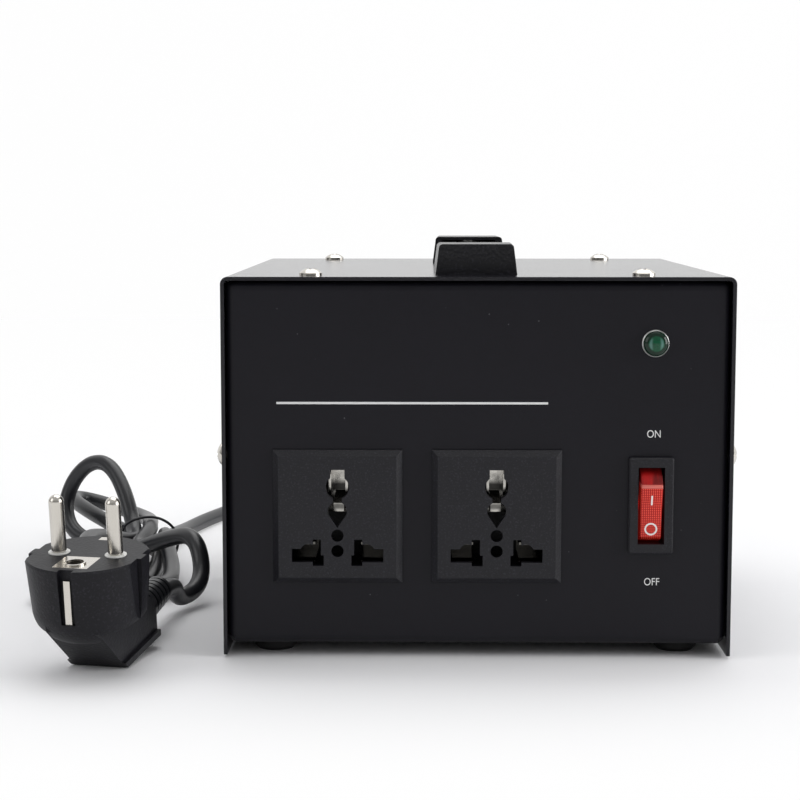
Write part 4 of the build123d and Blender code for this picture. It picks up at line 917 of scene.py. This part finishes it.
class TieOperator(bpy.types.Operator):
    """Bend the wire tie round the hank and twist its ends together"""

    bl_idname = "transformer.tie"
    bl_label = "Tie"

    def execute(self, context):
        lead = context.scene.transformer_lead
        middle = Vector((*HANK_MIDDLE, lane(lead, LANE_E, 0).z - lane_radius(lead)))
        across = Vector((cos(HANK_TURN), sin(HANK_TURN), 0))
        up = Vector((0, 0, 1))
        curve = round_curve("tie_wire", lead.tie, sides=4, steps=10)
        loop = [middle + across * side + up * rise for side, rise in TIE_LOOP]
        add_strand(curve, loop, order=4, cyclic=True)
        first, last = (Vector(end) for end in TIE_TAIL)
        for phase in (0.0, pi):
            tail = []
            for step in range(TIE_TWISTS * POINTS_IN_A_TWIST + 1):
                turns = step / POINTS_IN_A_TWIST
                spot = first.lerp(last, turns / TIE_TWISTS)
                angle = phase + 2 * pi * turns
                around = Vector((0, cos(angle), sin(angle))) * (lead.tie / MM / 2)
                tail.append(middle + across * spot.x + up * spot.y + around)
            add_strand(curve, tail, order=4)
        piece = new_piece("tie_wire", curve, FINISHES["cord_sheath"], "case")
        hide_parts("twist_tie")
        return {"FINISHED"}


class PlugOperator(bpy.types.Operator):
    """Press the bright collar round the plug's earth hole and the sleeves round its pins"""

    bl_idname = "transformer.plug"
    bl_label = "Plug"

    def execute(self, context):
        plug = context.scene.transformer_plug
        place = Matrix.Translation(PLUG_PLACE * MM) @ plug_turn().to_4x4()
        collar = ring_mesh("earth_collar", plug.collar / 2, plug.collar_wall, plug.collar_height)
        spot = Matrix.Translation((0, plug.earth_back, plug.collar_height / 2))
        collar.transform(place @ spot @ Matrix.Rotation(pi / 2, 4, "X"))
        piece = new_piece("earth_collar", collar, FINISHES["nickel"], "case")
        insert = frame["nodes"]["plug_insert"]
        sleeves = insert.data.copy()
        sleeves.materials.clear()
        sleeves.transform(place.inverted() @ insert.matrix_world)
        for vertex in sleeves.vertices:
            vertex.co.z = min(vertex.co.z, plug.sleeve_height)
        sleeves.transform(place)
        bridge = new_piece("pin_sleeves", sleeves, FINISHES["white_plastic"], "case")
        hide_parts("plug_insert")
        return {"FINISHED"}


class LeadOperator(bpy.types.Operator):
    """Lay the lead: out of the case, round behind it, through the tied hank and into the plug"""

    bl_idname = "transformer.lead"
    bl_label = "Lead"

    def execute(self, context):
        lead = context.scene.transformer_lead
        curve = round_curve("mains_lead", lead.width, sides=6, steps=14)
        add_strand(curve, lead_points(lead), order=3)
        piece = new_piece("mains_lead", curve, FINISHES["cord_sheath"], "case")
        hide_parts("cord_lead", "cord_hank", "cord_tail")
        solids = ("plug_body", "plug_pins", "plug_earth_clip", "plug_strain_relief")
        on_lead = [frame["nodes"][name] for name in solids]
        on_lead += [bpy.data.objects[name] for name in ("earth_collar", "pin_sleeves", "tie_wire")]
        return {"FINISHED"}


# Studio. Its sizes and places are in metres, and the camera's sensor in millimetres.

SENSOR_WIDTH = 36.0
FLOOR_HALF = 4.0
WALL_BACK = 1.6
WALL_TOP = 4.0
BACK_FADE = 0.6
SKY_RISE = (-0.1, 0.7)

# Each light: its name, its power's setting, where it stands, what it points at and its width
LIGHTS = (
    ("top_light", "top_power", (0.1, 0.40, 1.5), (0.0, 0.0, 0.0), 1.5),
    ("left_light", "left_power", (-1.3, -0.7, 0.7), (-0.05, 0.0, 0.05), 0.9),
    ("right_light", "right_power", (1.5, -0.25, 0.35), (0.0, 0.0, 0.05), 1.1),
)


def studio_finish(name, tint, white, studio=None):
    """A pale matte surface that the camera finds white, for the floor only away from the object."""
    finish = Finish(name, Roughness=0.8, Specular_IOR_Level=0.2, Base_Color=(*tint, 1.0))
    seen = finish.rays("Camera", "Glossy", "Transmission") * white
    if studio:
        along = finish.axis(1)
        front = finish.ramp(along, studio.grey_front, studio.white_front)
        back = finish.ramp(along, studio.grey_back, studio.white_back) ** BACK_FADE
        sides = finish.ramp(abs(finish.axis(0)), studio.grey_side, studio.white_side)
        seen = seen * front.largest(back).largest(sides)
    glow = finish.add("ShaderNodeEmission", None, {"Color": (*WHITE, 1.0)})
    surface = Socket(finish, finish.shader.outputs[0])
    mixed = finish.add("ShaderNodeMixShader", None, {0: seen, 1: surface, 2: glow})
    finish.join(mixed, "Material Output", "Surface")
    return finish.material


def stage_plane(name, corners, material):
    """One flat sheet of the studio."""
    mesh = bpy.data.meshes.new(name)
    mesh.from_pydata(corners, [], [(0, 1, 2, 3)])
    mesh.materials.append(material)
    plane = bpy.data.objects.new(name, mesh)
    bpy.context.scene.collection.objects.link(plane)


def soft_light(name, watts, place, aim, size):
    """A square light that points at a spot."""
    data = bpy.data.lights.new(name, "AREA")
    data.size = size
    data.energy = watts
    lamp = bpy.data.objects.new(name, data)
    lamp.location = place
    lamp.rotation_euler = (Vector(aim) - Vector(place)).to_track_quat("-Z", "Y").to_euler()
    bpy.context.scene.collection.objects.link(lamp)


def pale_world(studio):
    """A world that is dim at the horizon and paler overhead, and white for the camera."""
    world = bpy.data.worlds.new("studio")
    sky = Tree(world, "Generated")
    height = sky.ramp(sky.axis(2), *SKY_RISE)
    lit = sky.blend(height, shade(WHITE, studio.sky_low), shade(WHITE, studio.sky_high))
    seen = sky.rays("Camera") * studio.white
    sky.join(sky.blend(seen, lit, WHITE), "Background", "Color")
    return world


class StageOperator(bpy.types.Operator):
    """Set up the camera, the floor, the backdrop and the lights"""

    bl_idname = "transformer.stage"
    bl_label = "Studio"

    def execute(self, context):
        scene = context.scene
        studio = scene.transformer_studio
        data = bpy.data.cameras.new("camera")
        data.lens = studio.lens
        data.sensor_width = SENSOR_WIDTH
        camera = bpy.data.objects.new("camera", data)
        camera.location = studio.eye
        camera.rotation_euler = studio.turn
        scene.collection.objects.link(camera)
        scene.camera = camera
        left, right, far, top = -FLOOR_HALF, FLOOR_HALF, WALL_BACK, WALL_TOP
        floor = [(left, left, 0), (right, left, 0), (right, far, 0), (left, far, 0)]
        stage_plane("floor", floor, studio_finish("studio_floor", studio.floor, studio.white, studio))
        wall = [(left, far, 0), (right, far, 0), (right, far, top), (left, far, top)]
        stage_plane("backdrop", wall, studio_finish("studio_wall", studio.backdrop, studio.white))
        for name, setting, place, aim, size in LIGHTS:
            soft_light(name, getattr(studio, setting), place, aim, size)
        scene.world = pale_world(studio)
        scene.view_settings.view_transform = "Standard"
        return {"FINISHED"}


# The add-on


class TransformerPanel(bpy.types.Panel):
    """Lists the builders and their settings"""

    bl_label = "Voltage transformer"
    bl_idname = "VIEW3D_PT_transformer"
    bl_space_type = "VIEW_3D"
    bl_region_type = "UI"
    bl_category = "Transformer"

    def draw(self, context):
        for builder in BUILDERS:
            self.layout.operator(builder.bl_idname)
        for name, group in GROUPS.items():
            settings = getattr(context.scene, name)
            for key in group.__annotations__:
                self.layout.prop(settings, key)


GROUPS = {
    "transformer_case": CaseSettings,
    "transformer_print": PrintSettings,
    "transformer_switch": SwitchSettings,
    "transformer_lamp": LampSettings,
    "transformer_lead": LeadSettings,
    "transformer_plug": PlugSettings,
    "transformer_studio": StudioSettings,
}
BUILDERS = [
    StageOperator, FinishOperator, TieOperator, PlugOperator, LeadOperator, PrintOperator,
    RockerOperator, LampOperator,
]
CLASSES = [*GROUPS.values(), *BUILDERS, TransformerPanel]


def register():
    for kind in CLASSES:
        bpy.utils.register_class(kind)
    for name, group in GROUPS.items():
        setattr(bpy.types.Scene, name, PointerProperty(type=group))


def unregister():
    for name in GROUPS:
        delattr(bpy.types.Scene, name)
    for kind in reversed(CLASSES):
        bpy.utils.unregister_class(kind)


def main():
    register()
    for builder in BUILDERS:
        group, name = builder.bl_idname.split(".")
        getattr(getattr(bpy.ops, group), name)()


if __name__ == "__main__":
    main()
